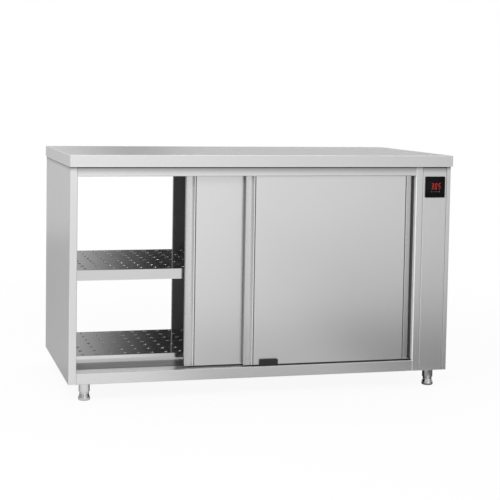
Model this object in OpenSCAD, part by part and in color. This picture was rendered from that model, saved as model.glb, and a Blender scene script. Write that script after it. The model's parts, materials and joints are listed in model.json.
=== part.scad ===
// Pass-through plate warmer cabinet in stainless sheet: two pairs of top-hung sliding doors,
// two perforated shelves and a control column on the right.
// Millimetres, +Z up, front towards -Y. The origin is on the floor, under the middle of the worktop.

/* [Worktop] */
// Overall width of the cabinet
cabinet_w = 1400; // [1100:10:2000]
// Overall depth of the cabinet
cabinet_d = 700; // [600:10:800]
// Height of the worktop above the floor
cabinet_h = 850; // [800:5:950]
// Height of the worktop's folded skirt
skirt_h = 40; // [30:1:60]
// Width of the skirt's return, folded inwards along its lower edge
skirt_return = 12; // [6:1:13]
// Thickness of the worktop sheet
top_t = 1.5; // [1:0.1:1.8]
// Radius of the worktop's outer corners and edges
corner_r = 2; // [1:0.5:4]
// Height of the hat channels that stiffen the worktop
stiffener_h = 24; // [18:1:26]
// Width of a hat channel's crown
stiffener_w = 60; // [40:5:90]
// Distance between the hat channels
stiffener_pitch = 240; // [150:10:260]

/* [Body] */
// Thickness of the body sheet
sheet = 1.2; // [0.8:0.1:1.5]
// Radius of a fold, to the middle of the sheet
bend_r = 1.5; // [1:0.1:2]
// Setback of the body's front and rear faces from the worktop's edge
front_setback = 14; // [14:1:25]
// Setback of the body's sides from the worktop's edge
side_setback = 2; // [2:0.5:8]
// Width of the left side's front flange
left_flange = 27; // [20:1:40]
// Width of the right side's front flange
right_flange = 15; // [13:1:30]
// Width of the column on the right, from the door opening to the side
column_w = 134; // [120:1:200]
// Width of the inner post between the doors and the control panel
post_w = 26; // [22:1:40]
// Height of the bottom rail's face
bottom_rail_h = 39; // [30:1:60]
// Drop from the worktop's surface to the underside of the top rail
head_drop = 74; // [68:1:90]
// Gap between neighbouring sheets
joint_gap = 0.5; // [0.3:0.1:1]

/* [Doors] */
// Overlap of a closed pair of doors
door_overlap = 44; // [20:1:60]
// Gap between a closed door's edge and the frame
door_side_gap = 1.5; // [1:0.5:4]
// Setback of the outer door's face behind the frame
door_setback = 8; // [7:0.5:12]
// Gap between the two lanes of doors
lane_gap = 4; // [3.5:0.5:8]
// Gap under a door
door_lift = 5; // [4:0.5:10]
// Cover of the top rail over a door's upper edge
door_cover = 6; // [4:0.5:12]
// Thickness of the door sheet
door_sheet = 1; // [0.8:0.1:1.2]
// Width of the finger channel along a door's edge
channel_w = 27; // [20:1:40]
// Depth of the finger channel
channel_d = 18; // [17:0.5:22]
// Width of the hem outside the finger channel
hem_w = 3; // [2.8:0.1:5]
// Width and depth of the shadow groove beside the channel
groove = 3; // [2.8:0.1:5]
// How far the front left door stands open
front_left_open = 384; // [0:1:500]
// How far the rear left door stands open
rear_left_open = 469; // [0:1:520]

/* [Door hanging] */
// Radius of a door roller
roller_r = 11; // [9:0.5:12]
// Width of a door roller
roller_w = 6; // [4:0.5:6]
// Radius of a roller's axle
axle_r = 3; // [2:0.25:4]
// Radial running clearance of a roller on its axle
axle_play = 0.05; // [0.03:0.01:0.1]
// Distance of a roller from the door's edge
roller_inset = 60; // [50:5:120]
// Thickness of the track sheet
track_t = 1.5; // [1.2:0.1:2]
// Width of a guide block
guide_w = 68; // [40:2:90]
// Height of a guide block
guide_h = 25; // [15:1:35]
// Distance of a guide block from the middle of the door opening, towards the column
guide_offset = 70; // [0:5:120]

/* [Shelves] */
// Height of the mid shelf's surface above the floor
mid_shelf_z = 446; // [380:1:520]
// Height of a shelf's downturned flange
shelf_flange = 36; // [20:1:38]
// Gap between the mid shelf's front and the doors' lanes
shelf_setback = 12; // [8:1:40]
// How much further the bottom shelf is set back, at the front and at the rear
bottom_shelf_inset = 50; // [0:5:100]
// Diameter of the holes in the shelves
hole_d = 10; // [6:0.5:16]
// Pitch of the holes along the shelf
hole_pitch_x = 50; // [40:1:80]
// Pitch of the holes across the shelf
hole_pitch_y = 66; // [50:1:100]
// Least distance of a hole's centre from the shelf's edge
hole_margin = 20; // [16:1:60]

/* [Feet] */
// Height of the body's underside above the floor
foot_h = 60; // [55:1:150]
// Outer radius of a foot's sleeve
sleeve_r = 19; // [16:0.5:19]
// Wall of a foot's sleeve
sleeve_t = 1.5; // [1:0.1:2]
// Height of the foot's visible adjuster
adjuster_h = 31; // [25:1:45]
// Radius of the adjuster's waist
waist_r = 16; // [13:0.5:16]
// Radius of the adjuster's flared base
base_r = 20.5; // [18:0.5:24]
// Radius of the adjuster's threaded stem
stem_r = 6; // [5:0.5:8]
// Distance of a foot's axis from the body's side
foot_inset_x = 59; // [50:1:90]
// Distance of a foot's axis from the body's front or rear face
foot_inset_y = 31; // [31:1:60]

/* [Controller] */
// Side of the controller's square bezel
bezel_w = 77; // [60:1:84]
// Height of the controller's centre below the worktop
controller_drop = 115; // [100:1:160]
// Depth of the controller's housing behind the panel
case_d = 58; // [40:1:80]

/* [Air heating] */
// Depth of the fan's axis below the worktop
fan_drop = 160; // [150:5:220]
// Radius of the fan's impeller
impeller_r = 65; // [50:1:80]
// Number of impeller blades
blade_count = 14; // [8:1:20]
// Depth of the duct behind the partition
duct_d = 62; // [55:1:70]
// Width of the duct
duct_w = 200; // [180:5:240]
// Number of fins on the heating element
fin_count = 18; // [8:1:24]

/* [Hidden] */
SIDES = ["front", "rear"];

// Clearances that pieces share
fit = 0.3;          // between faces that only lie beside each other
slide_play = 1.2;   // between a door and its guide block
bend_steps = 3;     // flats in one fold

// Planes of the body
half_w = cabinet_w / 2;
half_d = cabinet_d / 2;
body_x = half_w - side_setback;
body_y = half_d - front_setback;
skirt_z = cabinet_h - skirt_h;
body_top = cabinet_h - top_t - stiffener_h;
rail_top = foot_h + bottom_rail_h;
head_z = cabinet_h - head_drop;
pan_z = foot_h + sheet;
pan_top = pan_z + sheet;

// Door opening and column, seen from the front
open_x0 = -body_x + left_flange;
open_x1 = body_x - column_w;
open_mid = (open_x0 + open_x1) / 2;
post_x1 = open_x1 + post_w;
panel_x0 = post_x1 + joint_gap;
panel_x1 = body_x - right_flange - joint_gap;
panel_mid = (panel_x0 + panel_x1) / 2;

// Doors
door_t = channel_d + 2 * door_sheet;
lane_pitch = door_t + lane_gap;
door_w = (open_x1 - open_x0 - 2 * door_side_gap + door_overlap) / 2;
door_z0 = rail_top + door_lift;
door_z1 = head_z + door_cover;
door_h = door_z1 - door_z0;
door_closed_left = open_x0 + door_side_gap;
door_closed_right = open_x1 - door_side_gap - door_w;
jamb_d = door_setback + lane_pitch + door_t + 2;
edge_w = hem_w + channel_w + door_sheet;    // from the door's edge to its raised face
door_fold_r = min(0.8 * door_sheet, (hem_w - door_sheet) / 2 - 0.05);

// Door hanging, heights first, then depths behind the door's face
plate_t = 2;
hanger_l = 44;
track_z0 = door_z1 + plate_t + 2;
ledge_top = track_z0 + track_t;
axle_z = ledge_top + fit + roller_r;
track_top = axle_z + roller_r + 3;
ceiling_z = track_top + track_t;
roller_v = track_t + 2.6;
plate_v = roller_v + roller_w + 4;
ledge_v = roller_v + roller_w + 0.6 + track_t;
lip_h = 2.5;

// Frame folds
rail_lip = 9;
head_lip = 6;
rail_flange = jamb_d + 8;
side_flange = 12;
panel_return = 10;
post_return = 20;
liner_flange = 18;

// Shelves
shelf_x0 = open_x0 + door_side_gap;
shelf_x1 = open_x1 - door_side_gap;
shelf_y = body_y - jamb_d - shelf_setback + 2;
bottom_shelf_z = rail_top + shelf_flange;
bracket_leg = 18;

// Feet
foot_x = body_x - foot_inset_x;
foot_y = body_y - foot_inset_y;
boss_h = 12;
stem_top = pan_top + 24;

// Controller
controller_z = cabinet_h - controller_drop;
case_w = bezel_w - 9;
bezel_t = 3;
glass_t = 1.5;

// Air heating
duct_x0 = open_x1 + sheet;
duct_x1 = duct_x0 + duct_d;
duct_z0 = bottom_shelf_z + 4;
fan_z = cabinet_h - fan_drop;
duct_z1 = fan_z + impeller_r + 22;
impeller_w = 28;
impeller_x0 = duct_x0 + 12;
shaft_r = 4;
motor_r = 36;
motor_l = 48;
motor_flange_t = 2;
grille_r = impeller_r - 12;
grille_hole = 4;
grille_pitch = 13;
supply_z = bottom_shelf_z + 30;
supply_slot_h = 26;
supply_slot_w = 6;
supply_pitch = 18;
supply_count = 8;
tube_r = 4;
heater_span = 60;
heater_z0 = supply_z + 60;
heater_z1 = fan_z - impeller_r - 40;
heater_x = duct_x0 + duct_d / 2;
fin_w = 26;
fin_l = 92;
fin_t = 0.8;
probe_r = 3;
probe_l = 46;
probe_y = 140;
probe_z = fan_z;

// Electrical entry and small fixings
box_w = 46;
box_d = 130;
box_h = 150;
gland_z = foot_h + 60;
gland_r = 10;
gland_bore = 5;
screw_r = 2;
screw_play = 0.15;
head_r = 4;
head_h = 2.2;
service_screw_zs = [foot_h + 30, (foot_h + body_top) / 2, body_top - 30];
guide_screw_x = guide_w / 2 - 12;
louvre_count = 9;
louvre_h = 5;
louvre_pitch = 18;
louvre_z0 = foot_h + 160;

// ---------------------------------------------------------------- shared shapes

module box(lo, hi) { translate(lo) cube(hi - lo); }

// Extrusions of a flat profile: (x, y) up Z, (y, z) along X, (x, z) along Y
module along_z(z0, z1) { translate([0, 0, z0]) linear_extrude(z1 - z0) children(); }
module along_x(x0, x1) { translate([x0, 0, 0]) rotate([90, 0, 90]) linear_extrude(x1 - x0) children(); }
module along_y(y0, y1) { translate([0, y1, 0]) rotate([90, 0, 0]) linear_extrude(y1 - y0) children(); }

// A true cylinder between two heights, depths or widths
module rod_z(r, z0, z1) { translate([0, 0, z0]) cylinder(r = r, h = z1 - z0, $fn = 48); }
module rod_y(r, y0, y1) { translate([0, y1, 0]) rotate([90, 0, 0]) cylinder(r = r, h = y1 - y0, $fn = 48); }
module rod_x(r, x0, x1) { translate([x0, 0, 0]) rotate([0, 90, 0]) cylinder(r = r, h = x1 - x0, $fn = 48); }

// The front and the rear of the cabinet are mirror images
module on_side(side) { mirror([0, side == "rear" ? 1 : 0, 0]) children(); }

module soft_rect(w, h, r) {
    square([w, h - 2 * r], center = true);
    square([w - 2 * r, h], center = true);
    for (sx = [-1, 1], sy = [-1, 1])
        translate([sx * (w / 2 - r), sy * (h / 2 - r)]) circle(r = r, $fn = 48);
}

// Folded sheet: an even strip round a path of straight legs, with a rounded fold at each corner
function unit(v) = v / norm(v);
function left_of(v) = [-v[1], v[0]];
function fold_arc(p, i, r, off) =
    let (a = unit(p[i] - p[i - 1]), b = unit(p[i + 1] - p[i]),
         s = sign(a[0] * b[1] - a[1] * b[0]), turn = acos(a * b),
         c = p[i] - a * r * tan(turn / 2) + s * r * left_of(a),
         a0 = atan2(-s * left_of(a)[1], -s * left_of(a)[0]))
    [for (k = [0:bend_steps]) let (w = a0 + s * turn * k / bend_steps) c + (r - s * off) * [cos(w), sin(w)]];
function strip_edge(p, r, off) =
    let (n = len(p) - 1)
    [p[0] + off * left_of(unit(p[1] - p[0])),
     for (i = [1:n - 1]) each fold_arc(p, i, r, off),
     p[n] + off * left_of(unit(p[n] - p[n - 1]))];
function backwards(q) = [for (i = [len(q) - 1:-1:0]) q[i]];
module folded(p, t = sheet, r = bend_r) {
    polygon(concat(strip_edge(p, r, t / 2), backwards(strip_edge(p, r, -t / 2))));
}

// ---------------------------------------------------------------- worktop

module worktop() {
    color("gainsboro") difference() {
        intersection() {
            along_z(skirt_z, cabinet_h) soft_rect(cabinet_w, cabinet_d, corner_r);
            along_x(-half_w, half_w) translate([0, cabinet_h / 2]) soft_rect(cabinet_d, cabinet_h, corner_r);
            along_y(-half_d, half_d) translate([0, cabinet_h / 2]) soft_rect(cabinet_w, cabinet_h, corner_r);
        }
        box([-half_w + top_t, -half_d + top_t, skirt_z + top_t],
            [half_w - top_t, half_d - top_t, cabinet_h - top_t]);
        box([-half_w + top_t, -half_d + skirt_return, skirt_z - 1],
            [half_w - top_t, half_d - skirt_return, skirt_z + top_t + 1]);
    }
}

module worktop_stiffeners() {
    brim = 20;
    crown = stiffener_w / 2;
    hat = [[-crown - brim, sheet / 2], [-crown, sheet / 2], [-crown, stiffener_h - sheet / 2],
           [crown, stiffener_h - sheet / 2], [crown, sheet / 2], [crown + brim, sheet / 2]];
    color("silver") for (k = [-1:1])
        along_x(-body_x + sheet, body_x - sheet) translate([k * stiffener_pitch, body_top]) folded(hat);
}

// ---------------------------------------------------------------- body shell

// The left side; the right one is its mirror image. The sheet folds round the front and rear edges.
module side_panel(flange, depth) {
    x_out = -body_x + sheet / 2;
    x_in = -body_x + flange - sheet / 2;
    y_out = body_y - sheet / 2;
    y_in = body_y - depth;
    along_z(foot_h, body_top)
        folded([[x_in, -y_in], [x_in, -y_out], [x_out, -y_out],
                [x_out, y_out], [x_in, y_out], [x_in, y_in]]);
    for (z = [foot_h, body_top - sheet])
        box([-body_x + sheet, -body_y + sheet, z], [-body_x + side_flange, body_y - sheet, z + sheet]);
}

module left_side_panel() { color("lightgray") side_panel(left_flange, jamb_d); }
module right_side_panel() { color("lightgray") mirror([1, 0, 0]) side_panel(right_flange, panel_return); }

module left_liner() {
    y = body_y - jamb_d - sheet / 2;
    x = open_x0 - sheet / 2;
    color("silver") along_z(pan_top, ceiling_z)
        folded([[x - liner_flange, -y], [x, -y], [x, y], [x - liner_flange, y]]);
}

// Wall between the heated space and the column, with the fan's inlet holes and the warm air slots
module partition() {
    y = body_y - jamb_d - sheet / 2;
    x = open_x1 + sheet / 2;
    rows = floor(grille_r / grille_pitch);
    color("silver") {
        difference() {
            along_z(pan_top, body_top)
                folded([[x + liner_flange, -y], [x, -y], [x, y], [x + liner_flange, y]]);
            for (i = [-rows:rows], j = [-rows:rows])
                if (norm([i, j]) * grille_pitch <= grille_r)
                    translate([0, i * grille_pitch, fan_z + j * grille_pitch])
                        rod_x(grille_hole, open_x1 - 1, open_x1 + sheet + 1);
            for (k = [0:supply_count - 1])
                translate([open_x1 - 1, (k - (supply_count - 1) / 2) * supply_pitch, supply_z])
                    translate([0, -supply_slot_w / 2, 0]) cube([sheet + 2, supply_slot_w, supply_slot_h]);
            translate([0, probe_y, probe_z]) rod_x(probe_r + fit, open_x1 - 1, open_x1 + sheet + 1);
        }
        box([open_x1 + sheet, -y + sheet / 2, body_top - sheet],
            [open_x1 + liner_flange, y - sheet / 2, body_top]);
    }
}

// Underside of the body, notched round the folded sides and posts
module base_pan() {
    inner_x = body_x - sheet;
    inner_y = body_y - sheet - bend_r;
    jamb_y = body_y - jamb_d - fit;
    color("silver") difference() {
        along_z(pan_z, pan_top) difference() {
            square([2 * inner_x, 2 * inner_y], center = true);
            for (s = [-1, 1]) mirror([0, s < 0 ? 1 : 0]) {
                translate([-body_x, jamb_y]) square([left_flange + fit, jamb_d + 1]);
                translate([open_x1 - fit, jamb_y]) square([sheet + 2 * fit, jamb_d + 1]);
                translate([open_x1, body_y - post_return - fit]) square([post_w + fit, post_return + 1]);
                translate([open_x1, body_y - panel_return - fit]) square([column_w, panel_return + 1]);
            }
        }
        for (sx = [-1, 1], sy = [-1, 1])
            translate([sx * foot_x, sy * foot_y]) rod_z(stem_r + 1, pan_z - 1, pan_top + 1);
    }
}

module floor_panel() {
    y = body_y - rail_flange - fit - sheet / 2;
    z = rail_top - sheet / 2;
    color("silver") along_x(open_x0 + fit, open_x1 - fit)
        folded([[-y, pan_top], [-y, z], [y, z], [y, pan_top]]);
}

module ceiling_panel() {
    y = body_y - 1.5 * sheet;
    z = ceiling_z + sheet / 2;
    z_up = body_top - sheet - bend_r;
    color("silver") along_x(open_x0, open_x1) folded([[-y, z_up], [-y, z], [y, z], [y, z_up]]);
}

// ---------------------------------------------------------------- frame

module top_rail(side) {
    y = -body_y + sheet / 2;
    z = body_top - sheet / 2;
    on_side(side) along_x(open_x0, open_x1)
        folded([[-body_y + post_return, z], [y, z],
                [y, head_z + sheet / 2], [-body_y + head_lip, head_z + sheet / 2]]);
}

module bottom_rail(side) {
    y = -body_y + sheet / 2;
    y_in = -body_y + rail_flange - sheet / 2;
    z = rail_top - sheet / 2;
    on_side(side) difference() {
        along_x(open_x0, open_x1)
            folded([[-body_y + rail_lip, foot_h + sheet / 2], [y, foot_h + sheet / 2], [y, z], [y_in, z],
                    [y_in, rail_top - bracket_leg]]);
        for (s = [-1, 1])
            translate([open_mid + guide_offset + s * guide_screw_x, guide_screw_y, 0])
                rod_z(screw_r + screw_play, rail_top - sheet - 1, rail_top + 1);
    }
}

module inner_post(side) {
    x0 = open_x1 + sheet / 2;
    x1 = post_x1 - sheet / 2;
    y = -body_y + sheet / 2;
    on_side(side) {
        along_z(foot_h, body_top)
            folded([[x0, -body_y + jamb_d], [x0, y], [x1, y], [x1, -body_y + post_return]]);
        box([open_x1 + sheet, -body_y + sheet, foot_h],
            [post_x1 - sheet, -body_y + post_return, foot_h + sheet]);
    }
}

module front_top_rail() { color("lightgray") top_rail("front"); }
module rear_top_rail() { color("lightgray") top_rail("rear"); }
module front_bottom_rail() { color("lightgray") bottom_rail("front"); }
module rear_bottom_rail() { color("lightgray") bottom_rail("rear"); }
module front_inner_post() { color("lightgray") inner_post("front"); }
module rear_inner_post() { color("lightgray") inner_post("rear"); }

// Folded cover of the column, front or rear
module column_cover() {
    x0 = panel_x0 + sheet / 2;
    x1 = panel_x1 - sheet / 2;
    y = -body_y + sheet / 2;
    y_in = -body_y + panel_return;
    along_z(foot_h, body_top) folded([[x0, y_in], [x0, y], [x1, y], [x1, y_in]]);
    for (z = [foot_h, body_top - sheet])
        box([panel_x0 + sheet, -body_y + sheet, z], [panel_x1 - sheet, y_in, z + sheet]);
}

module control_panel() {
    half = case_w / 2 + fit;
    color("lightgray") difference() {
        column_cover();
        box([panel_mid - half, -body_y - 1, controller_z - half],
            [panel_mid + half, -body_y + sheet + 1, controller_z + half]);
    }
}

// Rear cover of the column, with cooling louvres, the cable entry and six screws
module service_panel() {
    louvre_w = panel_x1 - panel_x0 - 34;
    color("lightgray") difference() {
        on_side("rear") column_cover();
        for (k = [0:louvre_count - 1])
            box([panel_mid - louvre_w / 2, body_y - sheet - 1, louvre_z0 + k * louvre_pitch],
                [panel_mid + louvre_w / 2, body_y + 1, louvre_z0 + k * louvre_pitch + louvre_h]);
        translate([panel_mid, 0, gland_z]) rod_y(gland_r + fit, body_y - sheet - 1, body_y + 1);
        service_screw_places() rod_y(screw_r + screw_play, body_y - sheet - 1, body_y + 1);
    }
}

module service_screw_places() {
    for (x = [panel_x0 + 8, panel_x1 - 8], z = service_screw_zs) translate([x, 0, z]) children();
}

// ---------------------------------------------------------------- controller

module controller_case() {
    color("dimgray") translate([panel_mid, 0, controller_z]) {
        along_y(-body_y - bezel_t, -body_y) soft_rect(bezel_w, bezel_w, 3);
        along_y(-body_y, -body_y + case_d) soft_rect(case_w, case_w, 2);
    }
}

module controller_glass() {
    color("black") translate([panel_mid, 0, controller_z])
        along_y(-body_y - bezel_t - glass_t, -body_y - bezel_t) soft_rect(bezel_w - 1.5, bezel_w - 1.5, 2.5);
}

// ---------------------------------------------------------------- shelves

module shelf_brackets() {
    half = shelf_y - 20;
    z = mid_shelf_z - shelf_flange;
    color("silver") for (s = [-1, 1]) {
        wall = s < 0 ? open_x0 + sheet / 2 : open_x1 - sheet / 2;
        along_y(-half, half)
            folded([[wall, z - bracket_leg], [wall, z - sheet / 2], [wall - s * bracket_leg, z - sheet / 2]],
                   r = sheet / 2 + 0.2);
    }
}

// Perforated tray, upside down: a flat surface with a flange down each edge
module shelf(z, half) {
    w = shelf_x1 - shelf_x0;
    nx = 1 + floor((w - 2 * hole_margin) / hole_pitch_x);
    ny = 1 + floor((2 * half - 2 * hole_margin) / hole_pitch_y);
    mid = (shelf_x0 + shelf_x1) / 2;
    translate([mid, 0, 0]) {
        along_z(z - sheet, z) difference() {
            square([w, 2 * half], center = true);
            for (i = [0:nx - 1], j = [0:ny - 1])
                translate([(i - (nx - 1) / 2) * hole_pitch_x, (j - (ny - 1) / 2) * hole_pitch_y])
                    circle(d = hole_d, $fn = 24);
        }
        along_z(z - shelf_flange, z - sheet) difference() {
            square([w, 2 * half], center = true);
            square([w - 2 * sheet, 2 * (half - sheet)], center = true);
        }
    }
}

module mid_shelf() { color("darkgray") shelf(mid_shelf_z, shelf_y); }
module bottom_shelf() { color("darkgray") shelf(bottom_shelf_z, shelf_y - bottom_shelf_inset); }

// ---------------------------------------------------------------- door track and guides

// Depth of a lane's door face: lane 0 is the outer one, lane 1 the inner one
function lane_y(lane) = -body_y + door_setback + lane * lane_pitch;

// Guide block: an outer tooth, a tooth between the lanes and a wide inner tooth that takes the screws
guide_inner_tooth = 7;
guide_y0 = lane_y(0) - slide_play - 5;
guide_y1 = lane_y(1) + door_t + slide_play + guide_inner_tooth;
guide_screw_y = guide_y1 - guide_inner_tooth / 2;

// Play beside a door: the tooth between the lanes has less room than the two others
function slide_gap(lane, inner) = lane == inner ? slide_play : lane_gap / 5;

// A web under the ceiling, and for each lane a leg, a ledge for the rollers and a lip that keeps them on it
module track(side) {
    on_side(side) along_x(open_x0 + 1, open_x1 - 1) {
        translate([lane_y(0), track_top]) square([lane_pitch + plate_v, track_t]);
        for (lane = [0, 1]) translate([lane_y(lane), 0]) {
            translate([0, track_z0]) square([track_t, ceiling_z - track_z0]);
            translate([0, track_z0]) square([ledge_v, track_t]);
            translate([ledge_v - track_t, track_z0]) square([track_t, track_t + lip_h]);
        }
    }
}

// Black block on the bottom rail: a comb whose two slots hold the doors' lower edges
module guide_block(side) {
    on_side(side) translate([open_mid + guide_offset, 0, 0]) difference() {
        along_y(guide_y0, guide_y1) translate([0, rail_top]) intersection() {
            translate([0, guide_h - guide_w / 2]) soft_rect(guide_w, guide_w, 5);
            translate([-guide_w / 2, 0]) square([guide_w, guide_h]);
        }
        for (lane = [0, 1])
            box([-guide_w / 2 - 1, lane_y(lane) - slide_gap(lane, 0), rail_top + door_lift - 2],
                [guide_w / 2 + 1, lane_y(lane) + door_t + slide_gap(lane, 1), rail_top + guide_h + 1]);
        for (s = [-1, 1]) translate([s * guide_screw_x, guide_screw_y, 0])
            rod_z(screw_r + screw_play, rail_top - 1, rail_top + guide_h + 1);
    }
}

module front_track() { color("silver") track("front"); }
module rear_track() { color("silver") track("rear"); }
module front_guide_block() { color("black") guide_block("front"); }
module rear_guide_block() { color("black") guide_block("rear"); }

// ---------------------------------------------------------------- doors

// The skin of a door is one folded sheet: hem, finger channel, shadow groove, face, and the same again
function half_skin() =
    let (m = door_sheet / 2, wall = hem_w + channel_w + m, back = channel_d + m)
    [[m, channel_d - 4], [m, m], [hem_w - m, m], [hem_w - m, back], [wall, back], [wall, m],
     [wall + groove, m], [wall + groove, groove + m],
     [wall + 2 * groove, groove + m], [wall + 2 * groove, m]];

module door_skin(x, lane) {
    left = half_skin();
    right = [for (p = backwards(left)) [door_w - p[0], p[1]]];
    translate([x, lane_y(lane), door_z0]) {
        along_z(0, door_h) folded(concat(left, right), door_sheet, door_fold_r);
        for (z = [0, door_h - door_sheet])
            box([hem_w - door_sheet, 0, z],
                [door_w - hem_w + door_sheet, channel_d + door_sheet, z + door_sheet]);
    }
}

// Inner tray that closes the door's back and stiffens it
module door_liner(x, lane) {
    back = channel_d + door_sheet;
    flange = 14;
    side = edge_w + 2 * groove + door_sheet;
    translate([x, lane_y(lane), door_z0]) {
        box([1, back, 1], [door_w - 1, back + door_sheet, door_h - 1]);
        for (s = [side, door_w - side - door_sheet])
            box([s, back - flange, 20], [s + door_sheet, back, door_h - 20]);
        for (z = [20, door_h - 20 - door_sheet])
            box([side, back - flange, z], [door_w - side, back, z + door_sheet]);
    }
}

// Two angle brackets on the door's upper edge, each with a headed axle stud for a roller
module hangers(x, lane) {
    for (u = [roller_inset, door_w - roller_inset])
        translate([x + u, lane_y(lane), 0]) {
            box([-hanger_l / 2, 3, door_z1], [hanger_l / 2, plate_v + plate_t, door_z1 + plate_t]);
            along_y(plate_v, plate_v + plate_t) {
                translate([-hanger_l / 4, door_z1]) square([hanger_l / 2, axle_z - door_z1]);
                translate([0, axle_z]) intersection() {
                    circle(r = hanger_l / 4, $fn = 48);
                    square([hanger_l, 2 * roller_r], center = true);
                }
            }
            translate([0, 0, axle_z]) {
                rod_y(axle_r, roller_v - 1.4, plate_v);
                rod_y(axle_r + 1.5, roller_v - 1.5, roller_v - 0.4);
                rod_y(axle_r + 1.5, roller_v + roller_w + 0.4, plate_v);
            }
        }
}

// Nylon roller on its stud, with a ring recessed in its outer face
module roller(x, lane, which) {
    u = which == 1 ? roller_inset : door_w - roller_inset;
    translate([x + u, lane_y(lane), axle_z]) difference() {
        rod_y(roller_r, roller_v, roller_v + roller_w);
        rod_y(axle_r + axle_play, roller_v - 1, roller_v + roller_w + 1);
        rod_y_ring(roller_r - 2.5, axle_r + 2.5, roller_v - 1, roller_v + 0.8);
    }
}

module rod_y_ring(outer, inner, y0, y1) {
    difference() {
        rod_y(outer, y0, y1);
        rod_y(inner, y0 - 1, y1 + 1);
    }
}

// Where each door stands: [side, left edge, lane]
front_left = ["front", door_closed_left + front_left_open, 1];
front_right = ["front", door_closed_right, 0];
rear_left = ["rear", door_closed_left + rear_left_open, 1];
rear_right = ["rear", door_closed_right, 0];

module skin_of(d) { color("lightgray") on_side(d[0]) door_skin(d[1], d[2]); }
module liner_of(d) { color("darkgray") on_side(d[0]) door_liner(d[1], d[2]); }
module hangers_of(d) { color("silver") on_side(d[0]) hangers(d[1], d[2]); }
module roller_of(d, which) { color("ivory") on_side(d[0]) roller(d[1], d[2], which); }

// ---------------------------------------------------------------- feet

module foot_sleeves() {
    color("silver") for (sx = [-1, 1], sy = [-1, 1]) translate([sx * foot_x, sy * foot_y]) difference() {
        rod_z(sleeve_r, adjuster_h, pan_z);
        rod_z(sleeve_r - sleeve_t, adjuster_h - 1, pan_z - boss_h);
        rod_z(stem_r + axle_play, adjuster_h - 1, pan_z + 1);
    }
}

// Waisted adjuster: a round base that narrows in a smooth curve, and a stem up through the sleeve
module foot(sx, sy) {
    steps = 8;
    toe = 4;
    shoulder = adjuster_h - 5;
    curve = [for (k = [0:steps]) let (s = k / steps)
        [waist_r + (base_r - waist_r) * (1 + cos(180 * s)) / 2, toe + 3 + (shoulder - toe - 3) * s]];
    sole = [for (k = [0:3]) [base_r - toe + toe * sin(30 * k), toe - toe * cos(30 * k)]];
    color("gainsboro") translate([sx * foot_x, sy * foot_y]) {
        rotate_extrude($fn = 64)
            polygon(concat([[0, 0]], sole, curve, [[waist_r, adjuster_h - fit], [0, adjuster_h - fit]]));
        rod_z(stem_r, adjuster_h - fit, stem_top);
    }
}

module front_left_foot() { foot(-1, -1); }
module front_right_foot() { foot(1, -1); }
module rear_left_foot() { foot(-1, 1); }
module rear_right_foot() { foot(1, 1); }

// ---------------------------------------------------------------- air heating in the column

// Channel on the back of the partition that leads the air from the fan down past the heater
module heater_duct() {
    half = duct_w / 2;
    x = duct_x1 - sheet / 2;
    x0 = duct_x0 + sheet / 2;
    brim = 14;
    color("silver") difference() {
        union() {
            along_z(duct_z0, duct_z1)
                folded([[x0, -half - brim], [x0, -half], [x, -half],
                        [x, half], [x0, half], [x0, half + brim]]);
            for (z = [duct_z0, duct_z1 - sheet]) box([duct_x0, -half, z], [duct_x1, half, z + sheet]);
        }
        translate([0, 0, fan_z]) rod_x(shaft_r + 2, duct_x1 - sheet - 1, duct_x1 + 1);
        for (s = [-1, 1]) translate([0, s * heater_span / 2, heater_z0])
            rod_x(tube_r + fit, duct_x1 - sheet - 1, duct_x1 + 1);
    }
}

// Finned hairpin element: two legs joined by a half ring at the top, with its cold ends through the duct
module heating_element() {
    half = heater_span / 2;
    color("dimgray") {
        for (s = [-1, 1]) translate([0, s * half, 0]) {
            translate([heater_x, 0, 0]) rod_z(tube_r, heater_z0, heater_z1);
            translate([0, 0, heater_z0]) rod_x(tube_r, heater_x - tube_r, duct_x1 + 16);
            translate([0, 0, heater_z0]) rod_x(tube_r + 3, duct_x1, duct_x1 + 3);
        }
        translate([heater_x, 0, heater_z1]) rotate([90, 0, 90]) rotate_extrude(angle = 180, $fn = 64)
            translate([half, 0]) circle(r = tube_r, $fn = 32);
        for (k = [0:fin_count - 1]) {
            z = heater_z0 + 20 + k * (heater_z1 - heater_z0 - 40) / (fin_count - 1);
            box([heater_x - fin_w / 2, -fin_l / 2, z], [heater_x + fin_w / 2, fin_l / 2, z + fin_t]);
        }
    }
}

module fan_motor() {
    color("gray") translate([0, 0, fan_z]) difference() {
        union() {
            rod_x(motor_r + 12, duct_x1, duct_x1 + motor_flange_t);
            rod_x(motor_r, duct_x1 + motor_flange_t, duct_x1 + motor_l);
            for (k = [0:5]) rod_x(motor_r + 1.5, duct_x1 + 8 + k * 6, duct_x1 + 10 + k * 6);
        }
        rod_x(shaft_r + axle_play, duct_x1 - 1, duct_x1 + motor_l - 8);
    }
}

// Backward-curved impeller on the motor's shaft
module fan_impeller() {
    blade_t = 1.2;
    disc_t = 1.5;
    x0 = impeller_x0;
    x1 = x0 + impeller_w;
    arc_r = impeller_r * 0.42;
    color("silver") translate([0, 0, fan_z]) {
        rod_x(impeller_r, x1 - disc_t, x1);
        rod_x_ring(impeller_r, impeller_r - 14, x0, x0 + disc_t);
        rod_x(14, x0 + 6, x1);
        rod_x(shaft_r, x1, duct_x1 + motor_l - 12);
        for (k = [0:blade_count - 1]) rotate([k * 360 / blade_count, 0, 0])
            along_x(x0 + disc_t, x1 - disc_t) intersection() {
                translate([impeller_r * 0.58, arc_r - 6]) difference() {
                    circle(r = arc_r, $fn = 48);
                    circle(r = arc_r - blade_t, $fn = 48);
                }
                translate([impeller_r * 0.5, -arc_r]) square([impeller_r * 0.46, arc_r]);
            }
    }
}

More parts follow.
